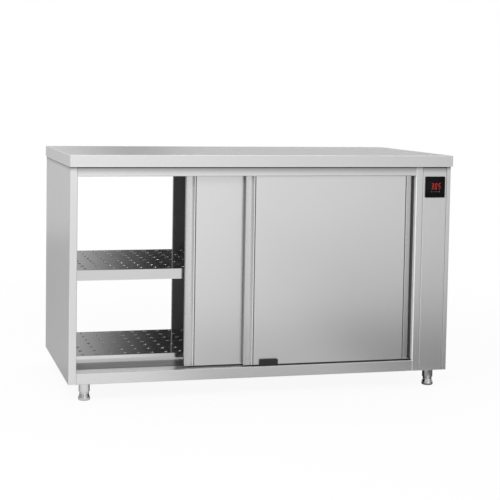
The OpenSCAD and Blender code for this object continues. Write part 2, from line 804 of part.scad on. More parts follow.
module rod_x_ring(outer, inner, x0, x1) {
    difference() {
        rod_x(outer, x0, x1);
        rod_x(inner, x0 - 1, x1 + 1);
    }
}

// Box on the base pan for the mains terminals, with a lid over its rim and a hole for the cable
module terminal_box() {
    wall = 2;
    x0 = duct_x1 + 8;
    x1 = x0 + box_w;
    z1 = pan_top + box_h;
    color("gray") difference() {
        union() {
            box([x0 + wall, wall - box_d / 2, pan_top], [x1 - wall, box_d / 2 - wall, z1 - wall]);
            box([x0, -box_d / 2, z1 - 5 * wall], [x1, box_d / 2, z1]);
        }
        box([x0 + 2 * wall, 2 * wall - box_d / 2, pan_top + wall],
            [x1 - 2 * wall, box_d / 2 - 2 * wall, z1 - wall]);
        translate([(x0 + x1) / 2, 0, gland_z]) rod_y(gland_bore + 2, 0, box_d);
    }
}

// Stem of the probe through the partition, with a collar on the column's side
module temperature_probe() {
    color("gainsboro") translate([0, probe_y, probe_z]) {
        rod_x(probe_r, open_x1 - probe_l, open_x1 + sheet);
        rod_x(probe_r + 4, open_x1 + sheet, open_x1 + sheet + 10);
    }
}

// Cable gland: threaded body through the rear cover, hexagon collar outside, lock nut inside
module cable_gland() {
    color("black") translate([panel_mid, 0, gland_z]) difference() {
        union() {
            rod_y(gland_r, body_y - 14, body_y + 12);
            along_y(body_y, body_y + 6) circle(r = gland_r + 5, $fn = 6);
            along_y(body_y - sheet - 5, body_y - sheet) circle(r = gland_r + 5, $fn = 6);
            rod_y(gland_r - 1, body_y + 6, body_y + 13.5);
        }
        rod_y(gland_bore, body_y - 15, body_y + 15);
    }
}

// Screws of the rear cover and of the two guide blocks
module fasteners() {
    color("gainsboro") {
        service_screw_places() {
            rod_y(head_r, body_y, body_y + head_h);
            rod_y(screw_r, body_y - 6, body_y);
        }
        for (side = SIDES, s = [-1, 1]) on_side(side)
            translate([open_mid + guide_offset + s * guide_screw_x, guide_screw_y, 0]) {
                rod_z(screw_r, rail_top - 6, rail_top + guide_h);
                rod_z(head_r - 0.5, rail_top + guide_h, rail_top + guide_h + 1.5);
            }
    }
}

// ---------------------------------------------------------------- one line per node

worktop();
worktop_stiffeners();
left_side_panel();
right_side_panel();
left_liner();
partition();
base_pan();
floor_panel();
ceiling_panel();
front_top_rail();
rear_top_rail();
front_bottom_rail();
rear_bottom_rail();
front_inner_post();
rear_inner_post();
control_panel();
service_panel();
controller_case();
controller_glass();
shelf_brackets();
mid_shelf();
bottom_shelf();
front_track();
rear_track();
front_guide_block();
rear_guide_block();
foot_sleeves();
heater_duct();
heating_element();
fan_motor();
fan_impeller();
terminal_box();
temperature_probe();
cable_gland();
fasteners();
front_left_foot();
front_right_foot();
rear_left_foot();
rear_right_foot();
skin_of(front_left);  // front_left_door_skin
skin_of(front_right);  // front_right_door_skin
skin_of(rear_left);  // rear_left_door_skin
skin_of(rear_right);  // rear_right_door_skin
liner_of(front_left);  // front_left_door_liner
liner_of(front_right);  // front_right_door_liner
liner_of(rear_left);  // rear_left_door_liner
liner_of(rear_right);  // rear_right_door_liner
hangers_of(front_left);  // front_left_hangers
hangers_of(front_right);  // front_right_hangers
hangers_of(rear_left);  // rear_left_hangers
hangers_of(rear_right);  // rear_right_hangers
roller_of(front_left, 1);  // front_left_roller_1
roller_of(front_left, 2);  // front_left_roller_2
roller_of(front_right, 1);  // front_right_roller_1
roller_of(front_right, 2);  // front_right_roller_2
roller_of(rear_left, 1);  // rear_left_roller_1
roller_of(rear_left, 2);  // rear_left_roller_2
roller_of(rear_right, 1);  // rear_right_roller_1
roller_of(rear_right, 2);  // rear_right_roller_2
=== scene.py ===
# %% [markdown]
# # A plate warmer cabinet, dressed
# The cabinet is a long stainless steel table whose inside is heated. Two sliding doors close each
# long side, perforated shelves carry the plates, and a column on the right holds the controller.
# The sheet metal itself comes from the CAD model. Here it gets its finishes, and the small things
# that a press brake doesn't make: the lens and its digits, screws, louvres, turned feet, a plate.

# %% Load the frame
import json
import math

import bpy
from mathutils import Matrix, Vector


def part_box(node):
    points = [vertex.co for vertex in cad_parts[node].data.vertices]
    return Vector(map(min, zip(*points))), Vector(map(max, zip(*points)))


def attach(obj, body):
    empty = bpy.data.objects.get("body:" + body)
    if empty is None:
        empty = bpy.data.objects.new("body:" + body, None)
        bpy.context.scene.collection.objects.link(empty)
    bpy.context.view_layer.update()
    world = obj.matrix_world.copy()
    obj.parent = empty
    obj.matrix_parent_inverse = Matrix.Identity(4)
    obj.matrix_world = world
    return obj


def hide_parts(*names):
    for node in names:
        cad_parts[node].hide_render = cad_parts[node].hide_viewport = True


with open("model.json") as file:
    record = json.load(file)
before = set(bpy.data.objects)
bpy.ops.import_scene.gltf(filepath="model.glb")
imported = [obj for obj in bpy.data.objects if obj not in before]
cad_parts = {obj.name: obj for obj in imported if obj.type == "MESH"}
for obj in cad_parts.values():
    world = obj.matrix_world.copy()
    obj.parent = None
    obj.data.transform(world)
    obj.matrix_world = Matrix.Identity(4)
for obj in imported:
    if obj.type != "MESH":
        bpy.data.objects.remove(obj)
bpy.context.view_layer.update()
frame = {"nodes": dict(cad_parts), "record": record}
nodes = frame["nodes"]

# %% [markdown]
# ## The camera
# The photograph looks at the cabinet from the left, a little above the worktop, with a long lens.
# A Track To constraint could aim the camera, but a view that was measured in a picture is better
# written down as a place, three angles and a shift of the lens.

# %% Camera
CAMERA_PLACE = (-1.2733, -4.5703, 1.0632)
YAW, PITCH, ROLL = 14.107, -3.704, 0.824
LENS, SENSOR = 90.56, 36
LENS_SHIFT = (0.08, -0.15)


def look(yaw, pitch, roll):
    """Rotation of a camera that looks along +Y, then turns right by yaw and up by pitch, in degrees."""
    yaw, pitch, roll = (math.radians(a) for a in (yaw, pitch, roll))
    ahead = Vector((math.sin(yaw) * math.cos(pitch), math.cos(yaw) * math.cos(pitch), math.sin(pitch)))
    right = Vector((math.cos(yaw), -math.sin(yaw), 0))
    up = right.cross(ahead)
    right, up = right * math.cos(roll) + up * math.sin(roll), up * math.cos(roll) - right * math.sin(roll)
    return Matrix((right, up, -ahead)).transposed()


bpy.ops.object.camera_add(location=CAMERA_PLACE)
camera = bpy.context.object
camera.rotation_euler = look(YAW, PITCH, ROLL).to_euler()
camera.data.sensor_width = SENSOR
camera.data.lens = LENS
camera.data.shift_x, camera.data.shift_y = LENS_SHIFT
bpy.context.scene.camera = camera
print("camera", [round(v, 2) for v in camera.location], "lens", camera.data.lens)

# %% [markdown]
# ## Number nodes
# The studio and the finishes are both built from small sums, so the helpers for a Math node and for a
# soft step come first. A soft step rises smoothly from 0 to 1 between two values.

# %% Number helpers
def math_node(tree, operation, a, b=None, clamp=False):
    """A Math node in a tree, fed by sockets or numbers. Returns its output."""
    node = tree.nodes.new("ShaderNodeMath")
    node.operation, node.use_clamp = operation, clamp
    for i, value in enumerate((a, b)):
        if value is None:
            continue
        if isinstance(value, (int, float)):
            node.inputs[i].default_value = value
        else:
            tree.links.new(value, node.inputs[i])
    return node.outputs[0]


def soft_step(tree, value, start, end):
    """0 at start and before it, 1 at end and past it, with a smooth rise between them."""
    node = tree.nodes.new("ShaderNodeMapRange")
    node.interpolation_type = "SMOOTHSTEP"
    node.inputs["From Min"].default_value, node.inputs["From Max"].default_value = start, end
    tree.links.new(value, node.inputs["Value"])
    return node.outputs["Result"]


def total(tree, parts):
    """The sum of several outputs."""
    result = parts[0]
    for part in parts[1:]:
        result = math_node(tree, "ADD", result, part)
    return result


def rest_of(tree, value):
    """What is left of 1, kept between 0 and 1."""
    return math_node(tree, "SUBTRACT", 1.0, value, True)


print("number helpers ready")

# %% [markdown]
# ## The studio
# Steel has almost no colour of its own: it shows what stands round it. A product photographer builds
# a tent of white panels and leaves gaps for the dark, so that each face of the steel runs from light
# to shade. Here the direction of a ray picks its brightness. Each window is a soft panel of light,
# given by its bearing, its height above the horizon and their widths. A window or a floor patch below
# zero takes light away, as a black card does. The camera itself sees white.

# %% Light levels
LEVELS = {
    "sky": 0.25, "over": 0.3, "left": 0.15, "right": 0.05,
    "front": 0.95, "front_mid": 0.72, "front_right": 0.30, "front_left": 0.3, "front_high": 0.5,
    "back_left": 0.54, "back_dark": -0.25, "back_rim": 1.6, "back_mid": 1.6, "back_high": 1.0,
    "floor": 0.05, "floor_left": 1.0, "floor_mid": 0.42, "floor_far": 0.9, "floor_far_right": 0.55,
    "floor_back": 0.5, "floor_feet": 0.7, "floor_under": -0.7,
    "key": 36.0, "top": 8.0,
}
LEAST_LIGHT = 0.02
print("light levels", len(LEVELS))

# %% World directions
world = bpy.data.worlds.new("white_tent")
bpy.context.scene.world = world
world.use_nodes = True
sky = world.node_tree
sky.nodes.clear()
direction = sky.nodes.new("ShaderNodeTexCoord").outputs["Generated"]
upward = sky.nodes.new("ShaderNodeSeparateXYZ")
sky.links.new(direction, upward.inputs[0])
height = math_node(sky, "MULTIPLY", math_node(sky, "ARCSINE", upward.outputs["Z"]), math.degrees(1))
flat = sky.nodes.new("ShaderNodeVectorMath")
flat.operation = "MULTIPLY"
flat.inputs[1].default_value = (1, 1, 0)
sky.links.new(direction, flat.inputs[0])
level_ray = sky.nodes.new("ShaderNodeVectorMath")
level_ray.operation = "NORMALIZE"
sky.links.new(flat.outputs["Vector"], level_ray.inputs[0])
print("world direction nodes", len(sky.nodes))

# %% World windows
def sky_window(name, bearing, half_width, elevation, half_height, rim):
    """A soft window of light, in degrees. Bearings turn right from +Y, so the front looks at 180."""
    toward = sky.nodes.new("ShaderNodeVectorMath")
    toward.operation = "DOT_PRODUCT"
    turn = math.radians(bearing)
    toward.inputs[1].default_value = (math.sin(turn), math.cos(turn), 0)
    sky.links.new(level_ray.outputs["Vector"], toward.inputs[0])
    aside = math_node(sky, "MULTIPLY", math_node(sky, "ARCCOSINE", toward.outputs["Value"]), math.degrees(1))
    above = math_node(sky, "ABSOLUTE", math_node(sky, "SUBTRACT", height, elevation))
    window = math_node(sky, "MULTIPLY", soft_step(sky, aside, half_width + rim, half_width - rim),
                       soft_step(sky, above, half_height + rim, half_height - rim))
    return math_node(sky, "MULTIPLY", window, LEVELS[name])


# name, bearing, half width, height above the horizon, half height, softness of the rim
windows = [
    sky_window("front", 177, 9, 2, 22, 4),
    sky_window("front_mid", 161, 7, 2, 22, 4),
    sky_window("front_right", 139, 15, 2, 22, 4),
    sky_window("front_left", 216, 30, 2, 22, 5),
    sky_window("front_high", 180, 60, 42, 18, 8),
    sky_window("right", 92, 32, 10, 40, 8),
    sky_window("left", 275, 30, 5, 40, 12),
    sky_window("back_left", 338, 30, 5, 20, 2.5),
    sky_window("back_dark", 42, 31.5, 10.5, 6.5, 2),
    sky_window("back_rim", 46, 34, 0, 4, 2),
    sky_window("back_mid", 48, 38, 25, 7, 2),
    sky_window("back_high", 0, 80, 42, 17, 8),
    sky_window("over", 0, 200, 90, 30, 8),
]
print("world windows", len(windows))

# %% World output
base = sky.nodes.new("ShaderNodeValue")
base.outputs[0].default_value = LEVELS["sky"]
tent = sky.nodes.new("ShaderNodeBackground")
plain = sky.nodes.new("ShaderNodeBackground")
for background in (tent, plain):
    background.inputs["Color"].default_value = (1, 1, 1, 1)
tent_light = math_node(sky, "MAXIMUM", total(sky, [base.outputs[0], *windows]), LEAST_LIGHT)
sky.links.new(tent_light, tent.inputs["Strength"])
rays = sky.nodes.new("ShaderNodeLightPath")
choice = sky.nodes.new("ShaderNodeMixShader")
sky.links.new(rays.outputs["Is Camera Ray"], choice.inputs["Fac"])
sky.links.new(tent.outputs["Background"], choice.inputs[1])
sky.links.new(plain.outputs["Background"], choice.inputs[2])
out = sky.nodes.new("ShaderNodeOutputWorld")
sky.links.new(choice.outputs["Shader"], out.inputs["Surface"])
bpy.context.scene.view_settings.view_transform = "Standard"
print("world nodes", len(sky.nodes))

# %% [markdown]
# ## Lamps
# A softbox close to the cabinet's front left lights that end and the floor before it more than the
# far end, because light thins out with distance. A second one hangs above the worktop. Large lamps
# make soft shadows, and small ones hard ones.

# %% Softboxes
def softbox(name, place, target, size):
    """An area lamp of a square size in metres, turned so that it shines at target."""
    bpy.ops.object.light_add(type="AREA", location=place)
    lamp = bpy.context.object
    lamp.name = f"{name}_softbox"
    lamp.data.shape = "SQUARE"
    lamp.data.size = size
    lamp.data.energy = LEVELS[name]
    lamp.rotation_euler = (Vector(target) - Vector(place)).to_track_quat("-Z", "Y").to_euler()


softbox("key", (-1.5, -1.9, 2.1), (-0.3, -0.3, 0.4), 0.9)
softbox("top", (0.2, 0.3, 3.0), (0, 0, 0.8), 2.0)
print("lamps", len(bpy.data.lights))

# %% [markdown]
# ## Starting and settling a piece
# Every piece is made as by hand: a primitive, then edit mode. An operator acts on everything that
# is selected, and the loaded CAD nodes are selected, so each piece starts from an empty selection.
# A finished piece keeps its place in its mesh and its object at the origin, as the CAD nodes do.

# %% Start and settle
def fresh():
    """Leaves edit mode and selects nothing."""
    if bpy.context.object and bpy.context.object.mode != "OBJECT":
        bpy.ops.object.mode_set(mode="OBJECT")
    bpy.ops.object.select_all(action="DESELECT")


def settle(piece, name, finish, body="cabinet", angle=35):
    """Puts a finished piece's place in its mesh, then gives it its name, finish and body."""
    fresh()
    piece.select_set(True)
    bpy.context.view_layer.objects.active = piece
    bpy.ops.object.transform_apply(location=True, rotation=True, scale=True)
    bpy.ops.object.shade_smooth_by_angle(angle=math.radians(angle))
    piece.name = piece.data.name = name
    piece.data.materials.clear()
    piece.data.materials.append(finish)
    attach(piece, body)
    return piece


print("a piece can be settled")

# %% [markdown]
# ## Copying and joining
# What repeats is modelled once and copied, and each copy gets its own mesh. Small copies that never part are
# joined into one piece.

# %% Copies
def loose_copy(piece, matrix):
    """A copy with its own mesh, moved by a matrix and not yet named or placed on a body."""
    twin = piece.copy()
    twin.data = piece.data.copy()
    twin.data.transform(matrix)
    bpy.context.scene.collection.objects.link(twin)
    return twin


def copy_of(piece, name, offset, body):
    """A copy of a settled piece, moved by offset, with its own name and body."""
    twin = loose_copy(piece, Matrix.Translation(Vector(offset)))
    twin.parent = None
    twin.matrix_world = Matrix.Identity(4)
    twin.name = twin.data.name = name
    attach(twin, body)
    return twin


def join(pieces):
    """Joins several pieces into the first one."""
    fresh()
    for piece in pieces:
        piece.select_set(True)
    bpy.context.view_layer.objects.active = pieces[0]
    bpy.ops.object.join()
    return bpy.context.object


def cut(piece, tool):
    """Takes the tool's shape out of the piece and deletes the tool."""
    fresh()
    bpy.context.view_layer.objects.active = piece
    piece.select_set(True)
    taking = piece.modifiers.new("taking", "BOOLEAN")
    taking.operation, taking.object, taking.solver = "DIFFERENCE", tool, "EXACT"
    bpy.ops.object.modifier_apply(modifier="taking")
    bpy.data.objects.remove(tool)
    return piece


print("pieces can be copied, joined and cut")

# %% [markdown]
# ## Three ways to raise a shape
# The plate and the lens are blocks with rounded corners. Feet, screws, rims and the gland grow
# upwards from a ring whose rim is extruded and scaled again and again, as a turner follows a profile.
# Digits and marks are flat shapes with a little depth. Screw and Spin could turn a profile too, but
# extruding and scaling also follows a rim that isn't round, such as the gland's.

# %% Rounded block
def rounded_block(low, high, round_r, soft_r, segments=6):
    """A block whose four edges along Y are rounded by round_r and whose other edges by soft_r."""
    fresh()
    low, high = Vector(low), Vector(high)
    bpy.ops.mesh.primitive_cube_add(size=1, location=(low + high) / 2, scale=high - low)
    piece = bpy.context.object
    bpy.ops.object.transform_apply(location=True, rotation=True, scale=True)
    bpy.ops.object.mode_set(mode="EDIT")
    bpy.ops.mesh.select_all(action="DESELECT")
    bpy.ops.object.mode_set(mode="OBJECT")
    for edge in piece.data.edges:
        a, b = (piece.data.vertices[i].co for i in edge.vertices)
        edge.select = abs(a.y - b.y) > 1e-6
    bpy.ops.object.mode_set(mode="EDIT")
    bpy.ops.mesh.select_mode(type="EDGE")
    bpy.ops.mesh.bevel(offset=round_r, segments=segments, affect="EDGES")
    bpy.ops.object.mode_set(mode="OBJECT")
    soft = piece.modifiers.new("soft", "BEVEL")
    soft.width, soft.segments = soft_r, 3
    soft.limit_method, soft.angle_limit = "ANGLE", math.radians(40)
    bpy.ops.object.modifier_apply(modifier="soft")
    return piece


print("rounded blocks can be made")

# %% Discs to start from
def lying_disc(sides, radius, height):
    """A filled disc that lies flat at a height."""
    fresh()
    centre = (0, 0, height)
    bpy.ops.mesh.primitive_circle_add(vertices=sides, radius=radius, fill_type="NGON", location=centre)
    bpy.ops.object.transform_apply(location=True)
    return bpy.context.object


def standing_disc(sides, radius):
    """A filled disc that stands upright in the plane of the cabinet's front."""
    fresh()
    upright = (math.pi / 2, 0, 0)
    bpy.ops.mesh.primitive_circle_add(vertices=sides, radius=radius, fill_type="NGON", rotation=upright)
    bpy.ops.object.transform_apply(rotation=True)
    return bpy.context.object


print("discs can be made")

# %% Rims that are raised
def close_up():
    """Turns every face outwards and leaves edit mode."""
    bpy.ops.mesh.select_all(action="SELECT")
    bpy.ops.mesh.normals_make_consistent(inside=False)
    bpy.ops.object.mode_set(mode="OBJECT")


def raise_rim(radius, height, profile):
    """Extrudes and scales the selected rim through a profile of (radius, height) pairs."""
    for next_radius, next_height in profile:
        rise = (0, 0, next_height - height)
        growth = next_radius / radius
        bpy.ops.mesh.extrude_region_move(TRANSFORM_OT_translate={"value": rise})
        bpy.ops.transform.resize(value=(growth, growth, 1), center_override=(0, 0, next_height))
        radius, height = next_radius, next_height
    close_up()


def lathe(profile, place, sides=64):
    """A turned body: a disc whose rim is raised through a profile of (radius, height) pairs."""
    (radius, height), rest = profile[0], profile[1:]
    piece = lying_disc(sides, radius, height)
    bpy.ops.object.mode_set(mode="EDIT")
    bpy.ops.mesh.select_all(action="SELECT")
    bpy.ops.mesh.flip_normals()
    raise_rim(radius, height, rest)
    piece.location = place
    return piece


def thicken_forward(depth):
    """Extrudes a flat shape towards the front, which is -Y."""
    bpy.ops.mesh.select_all(action="SELECT")
    bpy.ops.mesh.extrude_region_move(TRANSFORM_OT_translate={"value": (0, -depth, 0)})
    close_up()


print("rims and flat shapes can be raised")

# %% [markdown]
# ## Grain, shared by every steel
# Stainless sheet leaves the mill brushed: thousands of fine parallel scratches, a few longer than the
# rest, and a cloudy change of tone over a hand's width. A wave texture would repeat, so a noise that
# is stretched along the grain is used. It puts out a tone, a roughness and a height.

# %% Group and noise helpers
def new_group(name, inputs, outputs):
    """A shader node group with named sockets, and its input and output nodes."""
    group = bpy.data.node_groups.new(name, "ShaderNodeTree")
    for label, kind, default in inputs:
        socket = group.interface.new_socket(name=label, in_out="INPUT", socket_type=kind)
        if default is not None:
            socket.default_value = default
    for label, kind in outputs:
        group.interface.new_socket(name=label, in_out="OUTPUT", socket_type=kind)
    return group, group.nodes.new("NodeGroupInput"), group.nodes.new("NodeGroupOutput")


def noise(tree, vector, scale, detail):
    """The value of a noise texture, which swings round a half."""
    node = tree.nodes.new("ShaderNodeTexNoise")
    node.inputs["Scale"].default_value = scale
    node.inputs["Detail"].default_value = detail
    tree.links.new(vector, node.inputs["Vector"])
    return node.outputs["Fac"]


def swing(tree, value, depth):
    """How far a noise is off its middle, times a depth that is a number or a socket."""
    return math_node(tree, "MULTIPLY", math_node(tree, "SUBTRACT", value, 0.5), depth)


print("groups and noises can be made")

# %% Grain group
grain, g_in, g_out = new_group(
    "brushed_grain",
    [("Vector", "NodeSocketVector", None), ("Stretch", "NodeSocketVector", (2, 120, 120)),
     ("Tone Depth", "NodeSocketFloat", 0.1), ("Cloud Depth", "NodeSocketFloat", 0.05),
     ("Roughness", "NodeSocketFloat", 0.3), ("Roughness Spread", "NodeSocketFloat", 0.1)],
    [("Tone", "NodeSocketFloat"), ("Roughness", "NodeSocketFloat"), ("Height", "NodeSocketFloat")])
stretch = grain.nodes.new("ShaderNodeVectorMath")
stretch.operation = "MULTIPLY"
grain.links.new(g_in.outputs["Vector"], stretch.inputs[0])
grain.links.new(g_in.outputs["Stretch"], stretch.inputs[1])
scratches = noise(grain, stretch.outputs["Vector"], 6.0, 4.0)
clouds = noise(grain, g_in.outputs["Vector"], 3.2, 2.0)
uneven = math_node(grain, "ADD", swing(grain, scratches, g_in.outputs["Tone Depth"]),
                   swing(grain, clouds, g_in.outputs["Cloud Depth"]))
grain.links.new(math_node(grain, "ADD", uneven, 1.0), g_out.inputs["Tone"])
rough_swing = swing(grain, scratches, g_in.outputs["Roughness Spread"])
roughness = math_node(grain, "ADD", g_in.outputs["Roughness"], rough_swing, True)
grain.links.new(roughness, g_out.inputs["Roughness"])
grain.links.new(scratches, g_out.inputs["Height"])
print("grain group has", len(grain.nodes), "nodes")

# %% [markdown]
# ## Edges
# A folded or ground edge catches the light, and here that is a painted highlight: a band brighter than the
# face beside it. The mask is 1 within a small distance of any edge of a box, and the box's two corners are
# inputs, so one group serves the worktop, the panels and the posts. An Ambient Occlusion or Bevel node could
# find edges too, but an exported model would lose them.

# %% Edge group
edges, e_in, e_out = new_group(
    "edge_shine",
    [("Vector", "NodeSocketVector", None), ("Low", "NodeSocketVector", (0, 0, 0)),
     ("High", "NodeSocketVector", (1, 1, 1)), ("Width", "NodeSocketFloat", 0.003)],
    [("Mask", "NodeSocketFloat")])


def vector_node(tree, operation, a, b):
    """A Vector Math node that joins two sockets. Returns its output."""
    node = tree.nodes.new("ShaderNodeVectorMath")
    node.operation = operation
    tree.links.new(a, node.inputs[0])
    tree.links.new(b, node.inputs[1])
    return node.outputs["Vector"]


from_low = vector_node(edges, "SUBTRACT", e_in.outputs["Vector"], e_in.outputs["Low"])
from_high = vector_node(edges, "SUBTRACT", e_in.outputs["High"], e_in.outputs["Vector"])
nearest = vector_node(edges, "MINIMUM", from_low, from_high)
split = edges.nodes.new("ShaderNodeSeparateXYZ")
edges.links.new(nearest, split.inputs[0])
dx, dy, dz = split.outputs
# An edge is near where two of the three distances are small, so the middle one of them counts
middle = math_node(edges, "MAXIMUM", math_node(edges, "MINIMUM", dx, dy),
                   math_node(edges, "MINIMUM", math_node(edges, "MAXIMUM", dx, dy), dz))
share = math_node(edges, "DIVIDE", middle, e_in.outputs["Width"], True)
edges.links.new(rest_of(edges, share), e_out.inputs["Mask"])
print("edge group has", len(edges.nodes), "nodes")

# %% [markdown]
# ## Lines down a door's sides
# A door's two sides are folded alike, so one mask serves both: it measures the distance from the nearer side
# and is 1 along a line at a given inset. It paints the shade in the narrow groove and the highlights on the
# folds beside it.

# %% Side line group
side_lines, l_in, l_out = new_group(
    "side_lines",
    [("Vector", "NodeSocketVector", None),
     ("Left", "NodeSocketFloat", 0.0), ("Right", "NodeSocketFloat", 1.0),
     ("Inset", "NodeSocketFloat", 0.05), ("Half Width", "NodeSocketFloat", 0.002)],
    [("Mask", "NodeSocketFloat")])
place_x = side_lines.nodes.new("ShaderNodeSeparateXYZ")
side_lines.links.new(l_in.outputs["Vector"], place_x.inputs[0])
past_left = math_node(side_lines, "SUBTRACT", place_x.outputs["X"], l_in.outputs["Left"])
before_right = math_node(side_lines, "SUBTRACT", l_in.outputs["Right"], place_x.outputs["X"])
nearer = math_node(side_lines, "MINIMUM", past_left, before_right)
off_line = math_node(side_lines, "ABSOLUTE", math_node(side_lines, "SUBTRACT", nearer, l_in.outputs["Inset"]))
fade = math_node(side_lines, "DIVIDE", off_line, l_in.outputs["Half Width"], True)
line = rest_of(side_lines, math_node(side_lines, "POWER", fade, 4.0))
side_lines.links.new(line, l_out.inputs["Mask"])
print("side line group has", len(side_lines.nodes), "nodes")

# %% [markdown]
# ## Finishes
# Each finish is one Principled shader. What is the same all over is set on the shader's own sockets,
# and only what changes over the surface comes from the groups.

# %% Finish helpers
def start_finish(name):
    """A new material, its tree, its Principled shader and the place on the piece."""
    finish = bpy.data.materials.new(name)
    finish.use_nodes = True
    tree = finish.node_tree
    shader = tree.nodes["Principled BSDF"]
    place = tree.nodes.new("ShaderNodeTexCoord")
    return finish, tree, shader, place.outputs["Object"]


def add_bump(tree, shader, height, strength, distance):
    """Lets a height tilt the light on the surface."""
    bump = tree.nodes.new("ShaderNodeBump")
    bump.inputs["Strength"].default_value = strength
    bump.inputs["Distance"].default_value = distance
    tree.links.new(height, bump.inputs["Height"])
    tree.links.new(bump.outputs["Normal"], shader.inputs["Normal"])


def tinted(tree, factor, color):
    """The colour times a factor that changes over the surface."""
    scale = tree.nodes.new("ShaderNodeVectorMath")
    scale.operation = "SCALE"
    scale.inputs[0].default_value = color
    tree.links.new(factor, scale.inputs["Scale"])
    return scale.outputs["Vector"]


print("finish helpers ready")

# %% [markdown]
# ## What changes a steel's tone
# Three things do, besides the grain, and each is painted light or shade. Edges get a painted highlight. Right
# under the worktop's skirt lies a dark strip, where the overhang keeps the light off. The light here is too
# soft to make it that dark, so it is painted as shade by height. The doors have painted lines of shade and
# highlight down their sides. Each helper takes a tone and gives it back changed, so that a finish can chain
# them.

# %% Tone helpers
EDGE_GAIN = 0.35
THIN_SHADE, THIN_TOP, THIN_BOTTOM = 0.32, 0.0030, 0.0085
skirt_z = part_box("worktop")[0].z


def paint_edge_highlight(tree, place, tone, edge_of, width):
    """Paints a highlight: brightens a band along the edges of the box of the CAD node that edge_of names."""
    shine = tree.nodes.new("ShaderNodeGroup")
    shine.node_tree = edges
    tree.links.new(place, shine.inputs["Vector"])
    shine.inputs["Low"].default_value, shine.inputs["High"].default_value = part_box(edge_of)
    shine.inputs["Width"].default_value = width
    return math_node(tree, "ADD", tone, math_node(tree, "MULTIPLY", shine.outputs["Mask"], EDGE_GAIN))


def shade_under_skirt(tree, z, tone, depth, reach):
    """Darkens the strip under the skirt: by depth over its reach, and more along a thin line."""
    broad = math_node(tree, "MULTIPLY", soft_step(tree, z, skirt_z - reach, skirt_z), -depth)
    near = soft_step(tree, z, skirt_z - THIN_BOTTOM, skirt_z - THIN_TOP)
    thin = math_node(tree, "MULTIPLY", near, -THIN_SHADE)
    shade = math_node(tree, "ADD", broad, thin)
    return math_node(tree, "MULTIPLY", tone, math_node(tree, "ADD", shade, 1.0))


def draw_side_line(tree, place, tone, left, right, inset, half_width, gain):
    """Changes the tone along a line beside a door's left and right side: painted shade or a painted
    highlight.
    """
    lines = tree.nodes.new("ShaderNodeGroup")
    lines.node_tree = side_lines
    tree.links.new(place, lines.inputs["Vector"])
    lines.inputs["Left"].default_value, lines.inputs["Right"].default_value = left, right
    lines.inputs["Inset"].default_value, lines.inputs["Half Width"].default_value = inset, half_width
    change = math_node(tree, "ADD", math_node(tree, "MULTIPLY", lines.outputs["Mask"], gain), 1.0)
    return math_node(tree, "MULTIPLY", tone, change)


print("skirt ends at", round(skirt_z, 4))

# %% [markdown]
# ## One recipe for all steels
# They share the grain and differ in its direction, their tone and their roughness. The posts also have a
# painted highlight on the lip of their return, which faces the light from the left: there the shader turns
# less metallic and brighter.

# %% Steel recipe
LIP_GAIN, LIP_RISE = 0.45, 0.0003
BUMP_DEPTH = 0.0003


def steel(name, color, rough, stretch_by, tone_depth=0.035, cloud=0.04, spread=0.03, bump=0.015, edge_of=None,
          edge_width=0.003, tint=0.8, metal=0.8, highlight_below_x=None, skirt_shade=0.42, shade_reach=0.020,
          side_marks=()):
    """A brushed steel, its grain stretched by stretch_by. Tint is how bright it mirrors at a low angle."""
    finish, tree, shader, place = start_finish(name)
    brushed = tree.nodes.new("ShaderNodeGroup")
    brushed.node_tree = grain
    tree.links.new(place, brushed.inputs["Vector"])
    brushed.inputs["Stretch"].default_value = stretch_by
    brushed.inputs["Tone Depth"].default_value = tone_depth
    brushed.inputs["Cloud Depth"].default_value = cloud
    brushed.inputs["Roughness"].default_value = rough
    brushed.inputs["Roughness Spread"].default_value = spread
    tone = brushed.outputs["Tone"]
    axes = tree.nodes.new("ShaderNodeSeparateXYZ")
    tree.links.new(place, axes.inputs[0])
    if edge_of:
        tone = paint_edge_highlight(tree, place, tone, edge_of, edge_width)
    if skirt_shade:
        tone = shade_under_skirt(tree, axes.outputs["Z"], tone, skirt_shade, shade_reach)
    for mark in side_marks:
        tone = draw_side_line(tree, place, tone, *mark)
    shader.inputs["Metallic"].default_value = metal
    # Painted highlight on the lip of a post's return: brighter and less metallic.
    if highlight_below_x is not None:
        lip = soft_step(tree, axes.outputs["X"], highlight_below_x + LIP_RISE, highlight_below_x)
        tone = math_node(tree, "ADD", tone, math_node(tree, "MULTIPLY", lip, LIP_GAIN))
        tree.links.new(math_node(tree, "MULTIPLY", rest_of(tree, lip), metal), shader.inputs["Metallic"])
    tree.links.new(tinted(tree, tone, color), shader.inputs["Base Color"])
    tree.links.new(brushed.outputs["Roughness"], shader.inputs["Roughness"])
    shader.inputs["Specular Tint"].default_value = (tint, tint, tint, 1)
    add_bump(tree, shader, brushed.outputs["Height"], bump, BUMP_DEPTH)
    return finish


print("steel recipe ready")

# %% [markdown]
# ## The body's steels
# Grain runs along the length of each folded strip: along the worktop and the rails, and up the
# panels and posts. The rails and the control panel lie right under the skirt, so its shade is
# deeper on them.

# %% Body steels
SHEET = (0.68, 0.68, 0.68)
ALONG_X, ALONG_Z = (1.5, 110, 110), (110, 110, 1.5)
NARROW_EDGE = 0.0022
POST_LIP = 0.0013
worktop_steel = steel("worktop_brushed", SHEET, 0.27, ALONG_X, edge_of="worktop", skirt_shade=0,
                      tone_depth=0.025, spread=0.015, bump=0.008)
rail_steel = steel("rail_brushed", SHEET, 0.26, ALONG_X, skirt_shade=0.52, shade_reach=0.032)
panel_steel = steel("panel_brushed", SHEET, 0.28, ALONG_Z)
control_steel = steel("control_panel_brushed", SHEET, 0.27, ALONG_Z, edge_of="control_panel",
                      edge_width=NARROW_EDGE, tone_depth=0.02, skirt_shade=0.60, shade_reach=0.028,
                      spread=0.015, bump=0.006)
left_steel = steel("left_panel_brushed", SHEET, 0.28, ALONG_Z, edge_of="left_side_panel",
                   edge_width=NARROW_EDGE)
post_steel = {}
